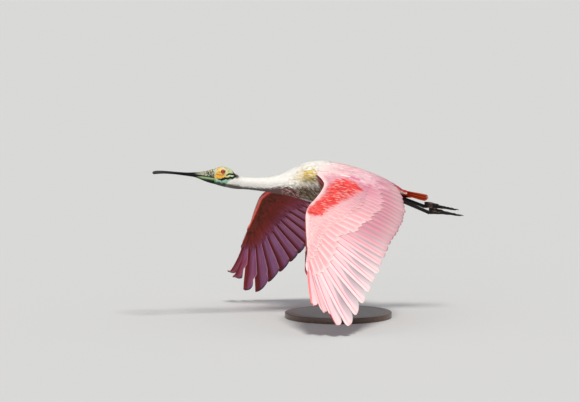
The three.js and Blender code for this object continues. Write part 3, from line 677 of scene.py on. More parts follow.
def flight_feathers(name, side, material):
    """The flight feathers of one wing: a closed vane on each rib, from the outermost primary inwards."""
    n, (rows, columns) = LAST_RIB + 1, QUILL_GRID
    k = np.arange(n, dtype=float)[:, None, None]
    v = (1 - (1 - np.linspace(0, 1, rows)) ** 1.7)[:, None]
    u = np.linspace(-1, 1, columns)
    u = np.sign(u) * np.abs(u) ** 1.15
    chance = np.random.default_rng(3).random(n)[:, None, None]
    ragged = np.random.default_rng(5).random(n * columns).reshape(n, 1, columns) - 0.5
    # The shaft, from the quill in the flesh to the tip.
    start = 0.35 * along(RIBS, k)[..., 8]
    tip = 1 + (chance - 0.6) * 0.016 * smooth(1, 4, k) + line(EXTRA_LENGTH[side], k)
    t = start + (tip - start) * v
    length = rib_length(k)
    spacing = rib_spacing(k * np.ones_like(t), t)
    from_tip = (1 - v) * (length * (tip - start))
    # The outline of the vanes.
    lead, trail = vane_reach(k, spacing, from_tip, side)
    quill = 0.25 + 0.75 * smooth(0, 0.15, v)
    lead_reach = lead * rounded(from_tip, line(LEADING_ROUND[side], k)) * quill
    trail_reach = trail * rounded(from_tip, line(TRAILING_ROUND[side], k)) * quill
    across = np.where(u < 0, u * lead_reach, u * trail_reach)
    rib_at = k + across / spacing
    own_length = length / rib_length(np.clip(rib_at, 0, 25.3))
    square_cut = smooth(2.4, 1.6, k)
    share_at = t * (1 + (own_length - 1) * square_cut) + ragged * 0.005 * smooth(0.9, 1, v)
    share_at = share_at - line(SLANT[side], k) * smooth(60, 5, from_tip) * across / length
    # Height over the surface of the wing, and thickness.
    inner_wing = smooth(8, 12, k)
    tilt = (0.02 * inner_wing - 0.065) * across * smooth(0.05, 0.5, v)
    camber = (0.5 - 0.25 * inner_wing) * (1 - u**2) * (1 - 0.5 * v)
    shaft = 0.9 * hump(across / 1.4) * (1 - 0.8 * v)
    half = 0.22 * (1 - np.abs(u) ** 3)
    upper = over_wing(rib_at, share_at, tilt + camber + half + shaft, side)
    lower = over_wing(rib_at, share_at, tilt + camber - half - shaft * 0.8, side)
    tones = quill_tone(k, u, chance, from_tip), quill_under_tone(k, v, u, chance, across, from_tip)
    span = quill_span(k, t, spacing, lead, across, from_tip)
    # The underside's distance from the tip is negative, which tells the material the faces apart.
    spans = span, span * [1, 1, -1] - [0, 0, 1]
    uv = strips(n, v, u)
    piece = feathers(f"flight_feathers_{name}", (upper, lower), tones, (v, u, chance), uv, spans, side > 0)
    finish_piece(piece, material, "plumage_pink", f"wing_{name}_arm", f"wing_{name}_hand")


def quill_tone(k, u, chance, from_tip):
    """Upper tones of the flight feathers, with the shaded undersides of folded and curled outer tips painted
    dark red.
    """
    inner_wing = smooth(7, 13, k)
    outer_vane = paint(rgb(248, 214, 216), (inner_wing, 207, 149, 161))
    inner_vane = paint(rgb(244, 200, 205), (inner_wing, 192, 137, 151))
    # Painted shade: dark red where the outer feathers' edges fold up and their tips curl, showing shaded
    # undersides.
    folded_shade = hump((k - 2) / 0.3) * smooth(-0.1, -0.35, u) * smooth(44, 38, from_tip)
    cut = smooth(1.6, 1.2, k) * smooth(9, 5, from_tip) * smooth(-0.1, 0.25, u)
    tone = blend(inner_vane, outer_vane, smooth(0.08, -0.08, u))
    tone = paint(tone, (0.7 * smooth(3.5, 0, k), 253, 196, 200))
    tip_ink = rgb(246, 218, 216) * (1 - 0.3 * inner_wing)[..., None]
    tone = paint(
        blend(tone, tip_ink, 0.5 * smooth(60, 10, from_tip)),
        (0.6 * inner_wing * smooth(16, 7, from_tip), 196, 156, 168),
        (0.7 * inner_wing * smooth(4.5, 2, from_tip), 150, 92, 84),
        (smooth(1.2, 0.2, k) * smooth(-0.3, -0.6, u), 250, 106, 92),
        (np.maximum(folded_shade, cut), 124, 26, 34),
    )
    return varied(tone, chance, 0.08)


def quill_under_tone(k, v, u, chance, across, from_tip):
    """Lower tones of the flight feathers: dark red at the shaft as painted shade, lilac behind it and dark
    blue rims as painted sky reflection, and pale glints as painted highlights.
    """
    lilac_sky_tint = paint(rgb(190, 134, 190), (0.5 * smooth(4, 10, k), 206, 148, 168))
    # Painted highlights: short pale glints across the trailing vane, further from the tip on the outer
    # primaries.
    glint_at = np.where(k < 3.5, 56, 19)
    rim = smooth(15, 4, from_tip) * smooth(-0.6, 0.2, u)
    rounding = smooth(22, 12, from_tip) * smooth(0.6, 0.95, u)
    # Painted shade: dark red at the shaft, mauve further out.
    tone = paint(rgb(138, 22, 30), (smooth(1, 8, across), 142, 54, 76))
    tone = blend(tone, lilac_sky_tint, 0.75 * smooth(0.08, 0.5, u) * smooth(0.1, 0.5, v))
    tone = paint(
        tone,
        (0.7 * smooth(3.5, 0, k) * smooth(0.2, 0.7, v), 176, 26, 54),
        (0.85 * hump((from_tip - glint_at) / 9) * smooth(0.85, 0.97, u), 244, 190, 200),
        # Painted sky reflection: dark blue-grey rims round the tips.
        (0.8 * np.maximum(rim, rounding), 64, 54, 90),
        (0.9 * smooth(3.5, 2.5, k) * smooth(-0.1, -0.5, u), 150, 6, 12),
        (smooth(1.2, 0.2, k) * smooth(0, -0.4, u) * smooth(10, 4, from_tip), 244, 170, 170),
    )
    return varied(tone, chance, 0.08)


# Rows of coverts


def row_tips(rows, share, shift=0.0):
    return [[k, t * share + shift] for k, t in rows]


def covert_places(rows_t, step_of, k_range, rng, jitter):
    """Ribs and tips of the feathers of several rows."""
    places = []
    for index, tips in enumerate(rows_t):
        k = k_range[0] + 0.5 * (index % 2) * step_of(k_range[0], 0.2)
        while k < k_range[1]:
            t = float(line(tips, k))
            step = step_of(k, max(t, 0.02))
            places.append((k + step * (rng.random() - 0.5) * jitter, t))
            k += step
    return np.array(places).T


def ribs_step(count):
    return lambda k, t: count


def millimetre_step(width):
    return lambda k, t: width / max(float(rib_spacing(np.array(float(k)), np.array(float(t)))), 1.0)


def covert_band(name, side, rows_t, step_of, length_mm, width_mm, sink, rise, seed, below=False,
                k_range=(-0.3, 25.3), grid=(7, 3), jitter=0.9, lean_share=0.25, tip_start=0.35):
    """Feathers in rows along the wing, each with its tip at a share of the wing's depth."""
    rng = np.random.default_rng(seed)
    k, t_tip = (values[:, None, None] for values in covert_places(rows_t, step_of, k_range, rng, jitter))
    n = len(k)

    def draws():
        return rng.random(n)[:, None, None]

    chance = draws()
    v, u = leaf_grid(*grid)
    depth = rib_length(k)
    t_tip = t_tip + (draws() - 0.5) * 0.1 * length_mm / depth
    length = np.minimum(length_mm * (0.9 + 0.2 * chance), (t_tip + 0.05) * depth) / depth
    t = (t_tip - length) + length * v
    spacing = np.maximum(rib_spacing(np.broadcast_to(k, t.shape), np.maximum(t, 0)), 1)
    width_mm = width_mm(k) if callable(width_mm) else width_mm
    across = u * (width_mm * 0.5 * tip_outline(v, tip_start) * (0.92 + 0.16 * chance))
    lean = (draws() - 0.5) * lean_share * (length * depth) * v
    rib_at = np.clip(k + np.clip((across + lean) / spacing, -1.1, 1.1), -0.45, 25.7)
    share_at = np.broadcast_to(np.maximum(t - 0.05 * length * u**2, -0.02), rib_at.shape)
    cup = 0.035 * width_mm * (1 - u**2) * (0.3 + 0.7 * v)
    shaft = 0.25 * hump(u / 0.3) * (1 - v)
    half = 0.14 * (1 - u**2)
    height = flesh_half(rib_at, np.clip(share_at, 0.01, 1)) - sink + (rise + sink) * v + cup - 0.04 * across
    sign = -1 if below else 1
    outer = over_wing(rib_at, share_at, sign * (height + half + shaft), side)
    inner = over_wing(rib_at, share_at, sign * (height - half), side)
    tone = (under_tone if below else upper_tone)(k, v, u, chance, share_at)
    uv = patches(0.02 + 0.95 * (k + 0.5) / 26, 0.03 + 1.2 * (t_tip - length), v, u, 0.006, 0.003)
    return feathers(name, (outer, inner), (tone, tone * 0.85), (v, u, chance), uv,
                    flip=(side > 0) != below)


# Where the carmine of the small coverts lies: rib, share of the wing's depth at its middle, half width.
CARMINE_BAND = np.array([
    [9.3, 0.03, 0.03], [11, 0.075, 0.085], [13.6, 0.115, 0.1], [16.2, 0.16, 0.125], [18.9, 0.2, 0.16],
    [21, 0.245, 0.165], [22.8, 0.27, 0.09], [24, 0.28, 0.02],
])


def carmine_share(k, t, chance, v):
    """How red each covert is: whole feathers inside the band, and lancets with pale edges at its rim."""
    middle, half = np.moveaxis(along(CARMINE_BAND, np.clip(k, 9.3, 24)), -1, 0)
    off = np.abs(t - middle) / np.maximum(half, 0.01)
    reach = 1.02 + 0.45 * (chance - 0.5)
    ends = smooth(8.8, 9.8, k) * smooth(22.9, 21.9, k + 0.8 * (chance - 0.5))
    return smooth(reach + 0.3, reach - 0.3, off) * ends * (0.75 + 0.25 * smooth(0.0, 0.5, v))


def upper_tone(k, v, u, chance, t):
    """Tones of the coverts over the wing: pink centres, pale fringes, and the carmine band."""
    off = np.abs(u)
    inner = smooth(11, 20, k)
    base = paint(rgb(247, 202, 200), (inner, 226, 176, 184))
    base = paint(base, (0.35 + 0.35 * smooth(9.5, 6, k) - 0.3 * inner, 254, 232, 226))
    centre = paint(rgb(245, 176, 181), (inner, 220, 156, 168))
    tone = paint(
        blend(centre, base, np.maximum(smooth(0.25, 0.95, off), smooth(0.75, 1, v))),
        (0.75 * hump((k - 22.6) / 2.2, (t - 0.5) / 0.13), 222, 134, 158),
        (0.8 * smooth(0.035, 0.005, t) * smooth(24.6, 23, k), 255, 226, 222),
        (0.8 * smooth(22.5, 24.6, k) * smooth(0.45, 0.1, t), 252, 236, 232),
    )
    deep = (other_chance(chance, 7.3) > 0.58) * smooth(0.2, 0.6, v) * smooth(1.0, 0.3, off)
    pale = smooth(0.72, 0.9, other_chance(chance, 5.1))
    fringe = smooth(0.2, 0.95, off) * smooth(0.3, 0.7, other_chance(chance, 3.7))
    ink = paint(
        rgb(244, 50, 40),
        (0.9 * deep, 176, 0, 6),
        (np.maximum(0.85 * pale, 0.4 * fringe), 252, 168, 160),
    )
    return varied(blend(tone, ink, carmine_share(k, t, chance, v) * 0.94), chance, 0.1)


def under_tone(k, v, u, chance, t):
    """Tones of the coverts under the wing: rose darkened to maroon and brown as painted shade, with a red
    leading edge brightened as a painted highlight.
    """
    other = other_chance(chance, 7.9)
    streaky = smooth(13, 18, k) * smooth(0.15, 0.3, t) * smooth(0.3, 0.8, other)
    tone = paint(
        # Painted shade: the underwing's rose is laid down as dark maroon-brown.
        rgb(124, 58, 46),
        (smooth(0.08, 0.2, t), 146, 58, 52),
        (smooth(0.7, 0.8, other) * smooth(0.3, 0.12, t) * 0.8, 86, 52, 34),
        (0.8 * streaky, 176, 112, 108),
    )
    edge_width = 0.02 - 0.012 * smooth(4, 9, k)
    tone = paint(
        blend(tone, tone * 0.7, smooth(0.3, 1, np.abs(u)) * 0.6),
        (smooth(0.35, 1, v) * smooth(0.26, 0.38, t) * 0.85, 158, 84, 112),
        (smooth(2.6 * edge_width, 1.2 * edge_width, t) * 0.8, 150, 14, 16),
    )
    # Painted highlight: a bright coral leading edge where the light catches it.
    lit_red_edge = paint(rgb(255, 130, 116), (smooth(9, 14, k), 240, 60, 56))
    return varied(blend(tone, lit_red_edge, smooth(edge_width, 0.4 * edge_width, t) * 0.95), chance, 0.3)


def wing_coverts(name, side, greater_look, small_look, under_look):
    """All coverts of one wing."""

    def greater_width(k):
        return 1.35 * rib_spacing(k, line(GREATER_TIPS, k) * 0.9)

    lesser = [row_tips(MEDIAN_TIPS, share) for share in np.linspace(0.9, 0.03, 22)]
    under_lesser = [row_tips(UNDER_MEDIAN_TIPS, share) for share in np.linspace(0.94, 0.05, 16)]
    for look, made in (
        (greater_look, covert_band(
            f"greater_coverts_{name}", side, [GREATER_TIPS], ribs_step(1), 75, greater_width, 1.0, 0.2, 11,
            k_range=(0.4, 25.3), grid=(18, 9), jitter=0.1, lean_share=0.03, tip_start=0.87)),
        (greater_look, covert_band(
            f"median_coverts_{name}", side, [MEDIAN_TIPS, row_tips(MEDIAN_TIPS, 0.93, -0.01)], ribs_step(0.9),
            44, 15, 0.9, 0.5, 12, grid=(14, 7), jitter=0.2, lean_share=0.06, tip_start=0.6)),
        (small_look, covert_band(
            f"lesser_coverts_{name}", side, lesser, millimetre_step(6.2), 27, 7.5, 0.9, 0.35, 13)),
        (under_look, covert_band(
            f"under_greater_coverts_{name}", side, [UNDER_TIPS, row_tips(UNDER_TIPS, 0.9)], ribs_step(0.6),
            74, 13, 1.0, 2.0, 14, True, grid=(14, 5), jitter=0.6, lean_share=0.05, tip_start=0.3)),
        (under_look, covert_band(
            f"under_lesser_coverts_{name}", side, [UNDER_MEDIAN_TIPS, *under_lesser], millimetre_step(7),
            28, 8.5, 0.9, 0.7, 15, True)),
    ):
        finish_piece(made, look, "plumage_pink", f"wing_{name}_arm", f"wing_{name}_hand")


# Skin


def closed_loft(rings):
    """Points and quads of a closed body through rings of equally many points."""
    count, n = rings.shape[:2]
    index = np.arange(count * n).reshape(count, n)
    a, d = index[:-1], index[1:]
    faces = [np.stack([a, np.roll(a, -1, 1), np.roll(d, -1, 1), d], -1).reshape(-1, 4)]
    first, last = index[0], index[-1]
    caps = ((np.roll(first, -1), first, count * n), (last, np.roll(last, -1), count * n + 1))
    for near, far, middle in caps:
        faces.append(np.stack([near, far, np.full(n, middle), np.full(n, -1)], -1))
    points = np.concatenate([rings.reshape(-1, 3), rings[0].mean(0)[None], rings[-1].mean(0)[None]])
    return points, np.concatenate(faces)


def outward(points, quads):
    """The quads, turned over where the body they close is inside out."""
    p = points[quads[:, :3]] - points.mean(0)
    if np.einsum("ij,ij->i", p[:, 0], np.cross(p[:, 1], p[:, 2])).sum() > 0:
        return quads
    three = quads[:, 3] < 0
    turned = quads[:, ::-1].copy()
    turned[three] = quads[three][:, [2, 1, 0, 3]]
    return turned


def tube(path, radii, around=20, flatten=1.0):
    """Rings round a path of points."""
    direction = unit(np.gradient(path, axis=0))
    side = unit(np.cross([0, 0, 1.0], direction))
    up = np.cross(direction, side)
    turn = circle(around)[:, None]
    ring = np.cos(turn) * side[:, None] + np.sin(turn) * up[:, None] * flatten
    return path[:, None] + ring * radii[:, None, None]


def solid_object(name, rings):
    points, quads = closed_loft(rings)
    return mesh_piece(name, points, outward(points, quads))


def boolean(target, rings, operation):
    """Joins a closed body to an object, or cuts it out."""
    tool = solid_object("part", rings)
    change = target.modifiers.new("join", "BOOLEAN")
    change.object, change.operation, change.solver = tool, operation, "MANIFOLD"
    bpy.context.view_layer.update()
    mesh = bpy.data.meshes.new_from_object(target.evaluated_get(bpy.context.evaluated_depsgraph_get()))
    target.modifiers.clear()
    old, target.data = target.data, mesh
    bpy.data.meshes.remove(old)
    bpy.data.objects.remove(tool)


def body_rings():
    """The body from the bill's base to the rump, finest on the head."""
    parts = np.linspace(-302.7, -230, 120), np.linspace(-229, -75, 60), np.linspace(-71, 270, 90)
    x = np.concatenate(parts)
    x, y, z = np.moveaxis(body_point(x[:, None], circle(112), along(DEPTHS, x)), -1, 0)
    return np.stack([x, y + np.sign(y) * head_form(x, y, z), z], -1)


# Mounds and hollows of the head's sides: X, Z, reach along both, and height.
HEAD_MOUNDS = [
    (-277, 40, 9, 4, 0.5), (-292, 24, 5, 4, -1.3), (-262, 27, 5, 5, -0.9), (-256, 19, 3.2, 3.2, -1.8),
    (-266, 13, 14, 3, 0.9),
]


def head_form(x, y, z):
    """How far the ring of the eye, brow, cheek, ear and throat folds stand out from the head's sides."""
    form = 0.9 * hump((np.hypot((x + 277.8) / 1.05, z - 29) - 8.2) / 1.8)
    for middle_x, middle_z, reach_x, reach_z, height in HEAD_MOUNDS:
        form = form + height * hump((x - middle_x) / reach_x, (z - middle_z) / reach_z)
    creases = 0.22 * np.sin(x * 0.35 + z * 1.5) * hump((x + 286) / 12, (z - 16) / 7)
    return (form + creases) * smooth(-238, -252, x) * smooth(2, 8, np.abs(y))


def wing_flesh_rings(side):
    k = np.linspace(-0.2, 25.3, 70)[:, None]
    share = np.linspace(0, 1, 18) ** 1.6
    t = share * along(RIBS, k)[..., 8]
    half = np.maximum(flesh_half(k, t) - 1.6 * np.sqrt(share), 0.5)
    return np.concatenate([over_wing(k, t, half, side), over_wing(k, t, -half, side)[:, ::-1]], 1)


def leg_path(name):
    return [mirrored(point, SIDES[name]) for point in LEGS[name]["path"]]


def leg_rings(name):
    """A leg from the knee to the foot joint, with a knob at the ankle."""
    knee, ankle, foot = leg_path(name)
    shin = foot - ankle
    points = np.array([knee, (knee + ankle) / 2, ankle, ankle + shin * 0.12, foot - shin * 0.1, foot])
    reach = np.concatenate([[0], np.cumsum(np.linalg.norm(np.diff(points, axis=0), axis=1))])
    rows = np.column_stack([reach, points, [17, 11, 5.8, 5.2, 4.8, 5.2]])
    made = along(rows, np.linspace(0, reach[-1], 60))
    knob = 1 + 0.14 * hump((np.linspace(0, 1, 60) - 0.52) / 0.03)
    return tube(made[:, :3], made[:, 3] * knob, 24)


def toe_paths(name):
    """Each toe's root in the foot, direction, length and number of joints."""
    side, foot = SIDES[name], leg_path(name)[2]
    made = {}
    for toe, (length, lean, rise, more, joints) in TOES.items():
        direction = unit(np.array([1, side * lean, -LEGS[name]["droop"] - more]))
        made[toe] = foot + np.array([0, side * lean * 42, rise]), direction, length, joints
    return made


def toe_rings(root, direction, length, joints):
    share = np.linspace(0, 1, 46)
    path = root + direction * (share * length)[:, None]
    path[:, 2] += 1.6 * np.sin(share * np.pi * 1.2)
    radii = 3.9 - 1.7 * share
    for joint in range(1, joints + 1):
        radii = radii + 0.5 * hump((share - joint / (joints + 0.6)) / 0.035)
        radii = radii - 0.25 * hump((share - (joint - 0.5) / (joints + 0.6)) / 0.06)
    radii[[0, -1]] *= 0.6
    return tube(path, radii, 18)


def lid_rings(side, way):
    """A fold of skin over the eye (way 1) or under it (way -1), following the ball."""
    axis = unit(mirrored(EYE_AXIS, side))
    forward = unit(np.array([-1, 0, 0]) + axis * axis[0])
    up = np.cross(axis, forward) * side * -1
    turn = np.linspace(0.02, 0.98, 40)[:, None] * np.pi
    rise = way * np.sin(turn)
    angle = LID_ANGLE - (0.07 if way > 0 else 0.0) * np.abs(rise)
    ring = np.cos(turn) * forward + rise * up
    path = mirrored(EYE, side) + (EYE_RADIUS + 0.2) * (np.cos(angle) * axis + np.sin(angle) * ring)
    return tube(path, 0.35 + 0.6 * np.sin(np.linspace(0.05, 0.95, 40) * np.pi) ** 0.6, 10)


def ball_rings(centre, axes, radius, turn, around):
    """Rings round a ball's first axis, at turns from one pole to the other."""
    axis, other, third = axes
    ring = np.cos(around)[:, None] * other + np.sin(around)[:, None] * third
    return centre + (
        axis * (radius * np.cos(turn))[:, None, None] + ring * (radius * np.sin(turn))[:, None, None]
    )


def eye_socket(side):
    """Rings of a ball just larger than the eye."""
    turn = np.linspace(0.001, np.pi - 0.001, 26)
    down, ahead, right = np.array([0, 0, -1.0]), np.array([1.0, 0, 0]), np.array([0, 1.0, 0])
    return ball_rings(mirrored(EYE, side), (down, ahead, right), EYE_RADIUS + SOCKET_PLAY, turn, circle(36))


def make_skin():
    """One skin for head, neck, trunk, wings' flesh and legs."""
    skin = solid_object("skin", body_rings())
    for name, side in SIDES.items():
        toes = [toe_rings(*toe) for toe in toe_paths(name).values()]
        for rings in (wing_flesh_rings(side), leg_rings(name), *toes):
            boolean(skin, rings, "UNION")
        boolean(skin, eye_socket(side), "DIFFERENCE")
        for way in (1, -1):
            boolean(skin, lid_rings(side, way), "UNION")
    return skin


# Bill, eyes, claws


def bill_rings(way):
    """Rings of the bill's upper half (way 1) or lower half (way -1), from its base to the end."""
    x = [np.linspace(-303, -340, 60), np.linspace(-341, -455, 60), np.linspace(-456, -477.3, 36)]
    x = np.concatenate(x)[:, None]
    gape, half, above, below = np.moveaxis(along(BILL, x), -1, 0)
    columns = 34
    share = np.cos(np.linspace(0, np.pi, columns))
    height = (above if way > 0 else below) + 0.5 * smooth(-342, -362, x)
    y = half * share
    middle = gape + way * GAP / 2
    z = middle + way * height * np.sqrt(np.clip(1 - 0.92 * share**2, 0, 1))
    if way > 0:
        z = z + upper_bill_form(x, y, np.abs(share))
    flat_y = half * np.linspace(-1, 1, columns)[1:-1]
    y, z = np.concatenate([y, flat_y], 1), np.concatenate([z, np.broadcast_to(middle, flat_y.shape)], 1)
    return np.stack([np.broadcast_to(x, y.shape), y, z], -1)


def upper_bill_form(x, y, off):
    """Ridges at the base, the groove along each side, the nostrils, and the nail at the end."""
    ridges = 0.45 * np.sin(x * 0.95 + 0.8 * np.abs(y)) * smooth(-352, -306, x) * (1 - off**4)
    groove = -0.5 * hump((off - 0.66) / 0.09) * smooth(-306, -316, x) * smooth(-470, -450, x)
    nostril = -1.6 * hump((x + 318) / 4.5, (np.abs(y) - 4.6) / 1.0)
    return ridges + groove + nostril + 0.7 * hump((x + 473) / 3.5, y / 4)


def eye_rings(side):
    """The eyeball with its cornea bulging a little."""
    turn = np.linspace(0.001, np.pi - 0.001, 40)
    axis = unit(mirrored(EYE_AXIS, side))
    other = unit(np.cross(axis, [0, 0, 1.0]))
    radius = EYE_RADIUS * (1 + 0.05 * hump(turn / 0.5))
    return ball_rings(mirrored(EYE, side), (axis, other, np.cross(axis, other)), radius, turn, circle(48))


def claw_rings(root, direction, length):
    """A curved claw that starts behind the toe's last pad."""
    share = np.linspace(0, 1, 16)
    path = root + direction * (length - 1.5 + share * 10.6)[:, None]
    path[:, 2] += 0.5 - 1.8 * share**2
    return tube(path, 1.7 * np.sqrt(1 - share**1.6) + 0.08, 14, 0.9)


# Stand


def lathe(name, profile, around):
    """A turned piece round the stand's middle, from radii and heights."""
    radii, heights = np.array(profile, float).T[..., None]
    turn = circle(around)
    rings = [radii * np.cos(turn) - SHOULDERS[0], radii * np.sin(turn), heights + 0 * turn]
    return solid_object(name, np.stack(rings, -1))


def arc(centre_r, centre_z, radius, start, end, count=6):
    turn = np.radians(np.linspace(start, end, count))
    return [[centre_r + radius * math.cos(a), centre_z + radius * math.sin(a)] for a in turn]


def make_stand(wood, steel):
    """The wooden base with rounded edges and a groove, and the rod with a collar at its foot."""
    floor = -SHOULDERS[2]
    base = [
        [0.01, 0], *arc(BASE_RADIUS - 1.5, 1.5, 1.5, -90, 0),
        *arc(BASE_RADIUS - 3, BASE_THICKNESS - 3, 3, 0, 90), [BASE_RADIUS - 16, BASE_THICKNESS],
        *arc(BASE_RADIUS - 18, BASE_THICKNESS, 0.8, 0, -180, 5),
        [BASE_RADIUS - 20, BASE_THICKNESS], [0.01, BASE_THICKNESS],
    ]
    finish_piece(lathe("stand_disc", [[r, z + floor] for r, z in base], 96), wood, "stand_wood", "stand_base")
    foot = floor + BASE_THICKNESS + GAP
    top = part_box("stand_rod")[1].z / MM - SHOULDERS[2] - foot
    rod = [
        [0.01, 0], *arc(10.2, 0.8, 0.8, -90, 0), [10.4, 3], *arc(8.4, 5, 2.4, -20, 60), [6.6, 8],
        [ROD_RADIUS, 8.6], [ROD_RADIUS, top - 0.5], [ROD_RADIUS - 0.5, top], [0.01, top],
    ]
    finish_piece(lathe("stand_pole", [[r, z + foot] for r, z in rod], 48), steel, "stand_steel", "stand_rod")


# Stage


def toward(azimuth, elevation):
    """The direction from the model to a camera or a light, in degrees off the bird's left side."""
    a, e = math.radians(azimuth), math.radians(elevation)
    return Vector((math.sin(a) * math.cos(e), -math.cos(a) * math.cos(e), math.sin(e)))


def staged(data, direction):
    """An object for a camera or a light that looks against its direction."""
    made = bpy.data.objects.new(data.name, data)
    made.rotation_mode = "QUATERNION"
    made.rotation_quaternion = direction.to_track_quat("Z", "Y")
    bpy.context.scene.collection.objects.link(made)
    return made


def make_camera():
    """A camera at the photo's angle, aimed so that the shoulders fall where they do in the photo."""
    back = toward(CAMERA_AZIMUTH, CAMERA_ELEVATION)
    right = Vector((0, 0, 1)).cross(back).normalized()
    up = back.cross(right)
    data = bpy.data.cameras.new("camera")
    data.sensor_width = SENSOR_MM
    data.lens = SENSOR_MM * CAMERA_DISTANCE / (PICTURE[0] * MM_PER_PIXEL * MM)
    data.clip_start, data.clip_end = 1, 400
    camera = staged(data, back)
    right_of_middle, below_middle = (at - size / 2 for at, size in zip(SHOULDERS_AT, PICTURE))
    aim = Vector(SHOULDERS * MM) + (up * below_middle - right * right_of_middle) * MM_PER_PIXEL * MM
    camera.location = aim + back * CAMERA_DISTANCE
    bpy.context.scene.camera = camera


def make_floor():
    ring = [(FLOOR_REACH * math.cos(a), FLOOR_REACH * math.sin(a), 0) for a in circle(48)]
    mesh = bpy.data.meshes.new("floor")
    mesh.from_pydata(ring, [], [list(range(48))])
    _, material = new_tree("pale_floor")
    mesh.materials.append(shaded(material, Base_Color=(0.62, 0.62, 0.61), Roughness=0.9))
    link(mesh, "floor")


# Suns: azimuth, elevation, strength, softness in degrees, colour.
SUNS = {"key": (-5, 58, 2.5, 14, (1.0, 0.98, 0.94)), "fill": (-40, 12, 0.5, 40, (1, 1, 1))}


def make_light():
    scene = bpy.context.scene
    scene.view_settings.view_transform = "Standard"
    scene.world = bpy.data.worlds.new("pale_room")
    scene.world.use_nodes = True
    background = scene.world.node_tree.nodes["Background"]
    put(background.inputs["Color"], ROOM_COLOUR)
    put(background.inputs["Strength"], ROOM_STRENGTH)
    for name, (azimuth, elevation, strength, softness, colour) in SUNS.items():
        data = bpy.data.lights.new(name, "SUN")
        data.energy, data.angle, data.color = strength, math.radians(softness), colour
        staged(data, toward(azimuth, elevation))


# Body feathers

WHITE = rgb(250, 248, 242)
PALE_PINK = rgb(250, 204, 206)
# How far feathers stray from their rows, as a share of a step.
ROW_JITTER = 0.9
# The furthest back that they reach along X.
RUMP_END = 278


def body_places(start, end, step_of, rng):
    """X and turn of feathers' roots, loosely in rows round the body."""
    places = []
    x = start
    while x < end:
        step_x, step_y = step_of(x)
        turn = rng.random() * 0.05
        while turn < 2 * np.pi:
            away = body_point(x, turn + 0.01) - body_point(x, turn)
            step_turn = step_y / max(np.linalg.norm(away) / 0.01, 4)
            lengthwise = (rng.random() - 0.5) * ROW_JITTER + (len(places) % 2) * 0.5
            around = (rng.random() - 0.5) * ROW_JITTER
            places.append((x + lengthwise * step_x, turn + around * step_turn))
            turn += step_turn
        x += step_x
    return np.array(places).T


def body_feathers(name, x, turn, length, width, rise, seed, tip_start):
    """Feathers that lie along the body from their roots, following its shape."""
    rng = np.random.default_rng(seed)
    n = len(x)
    x, turn, length, width, rise = (
        np.broadcast_to(values, n)[:, None, None] for values in (x, turn, length, width, rise)
    )
    v, u = leaf_grid(6, 3)
    chance = rng.random(x.shape)
    length = length * (0.85 + 0.3 * chance)
    lie = droop(x, turn) + (rng.random(x.shape) - 0.5) * 0.16
    per_turn = np.linalg.norm(body_point(x, turn + 0.02) - body_point(x, turn - 0.02), axis=-1) / 0.04
    per_turn = np.maximum(per_turn, 5)
    across = u * (width * 0.5 * tip_outline(v, tip_start))
    x_at = np.minimum(x + length * np.cos(lie) * v - 0.06 * length * u**2, RUMP_END)
    turn_at = turn + length * np.sin(lie) / per_turn * v + across / per_turn
    lay = rise * v - 0.8 * along(DEPTHS, x_at)[..., 0] * (1 - v) - 0.4
    cup = 0.04 * width * (1 - u**2) * (0.3 + 0.7 * v)
    surface = body_point(x_at, turn_at)
    faces = two_faces(surface, body_normal(x_at, turn_at), lay + cup - 0.03 * across, 0.13 * (1 - u**2))
    tone = body_tone(turn, v, chance, surface)
    uv = patches(0.02 + 0.96 * (x + 260) / 540, 0.02 + 0.96 * (turn / (2 * np.pi) % 1), v, u, 0.004, 0.002)
    return feathers(name, faces, (tone, tone * 0.8), (v, u, chance), uv)


# Where the flank's deep rose feathers, darkened with painted shade, start in front of the wing: height, X.
SHADED_ROSE_FLANK = [[-90, 20], [-60, -6], [-33, -2], [-9, -13], [16, -20], [30, 10]]

# Below this line of X and height, throat, neck and breast are painted dark as shade.
SHADED_BELOW = [
    [-275, -3], [-251, -6], [-233, -9.5], [-226, -13], [-212, -16], [-190, -18], [-163, -21], [-135, -21],
    [-113, -18], [-102, -15], [-84, -19], [-70, -27], [-58, -38], [-44, -62], [300, -200],
]


def nape_patch(x, z):
    """The dark patch behind the crown: past 1 at its middle, and falling off round it."""
    return 1.3 * hump((x + 236.5) / 8, (z - 15.5) / 5.5)


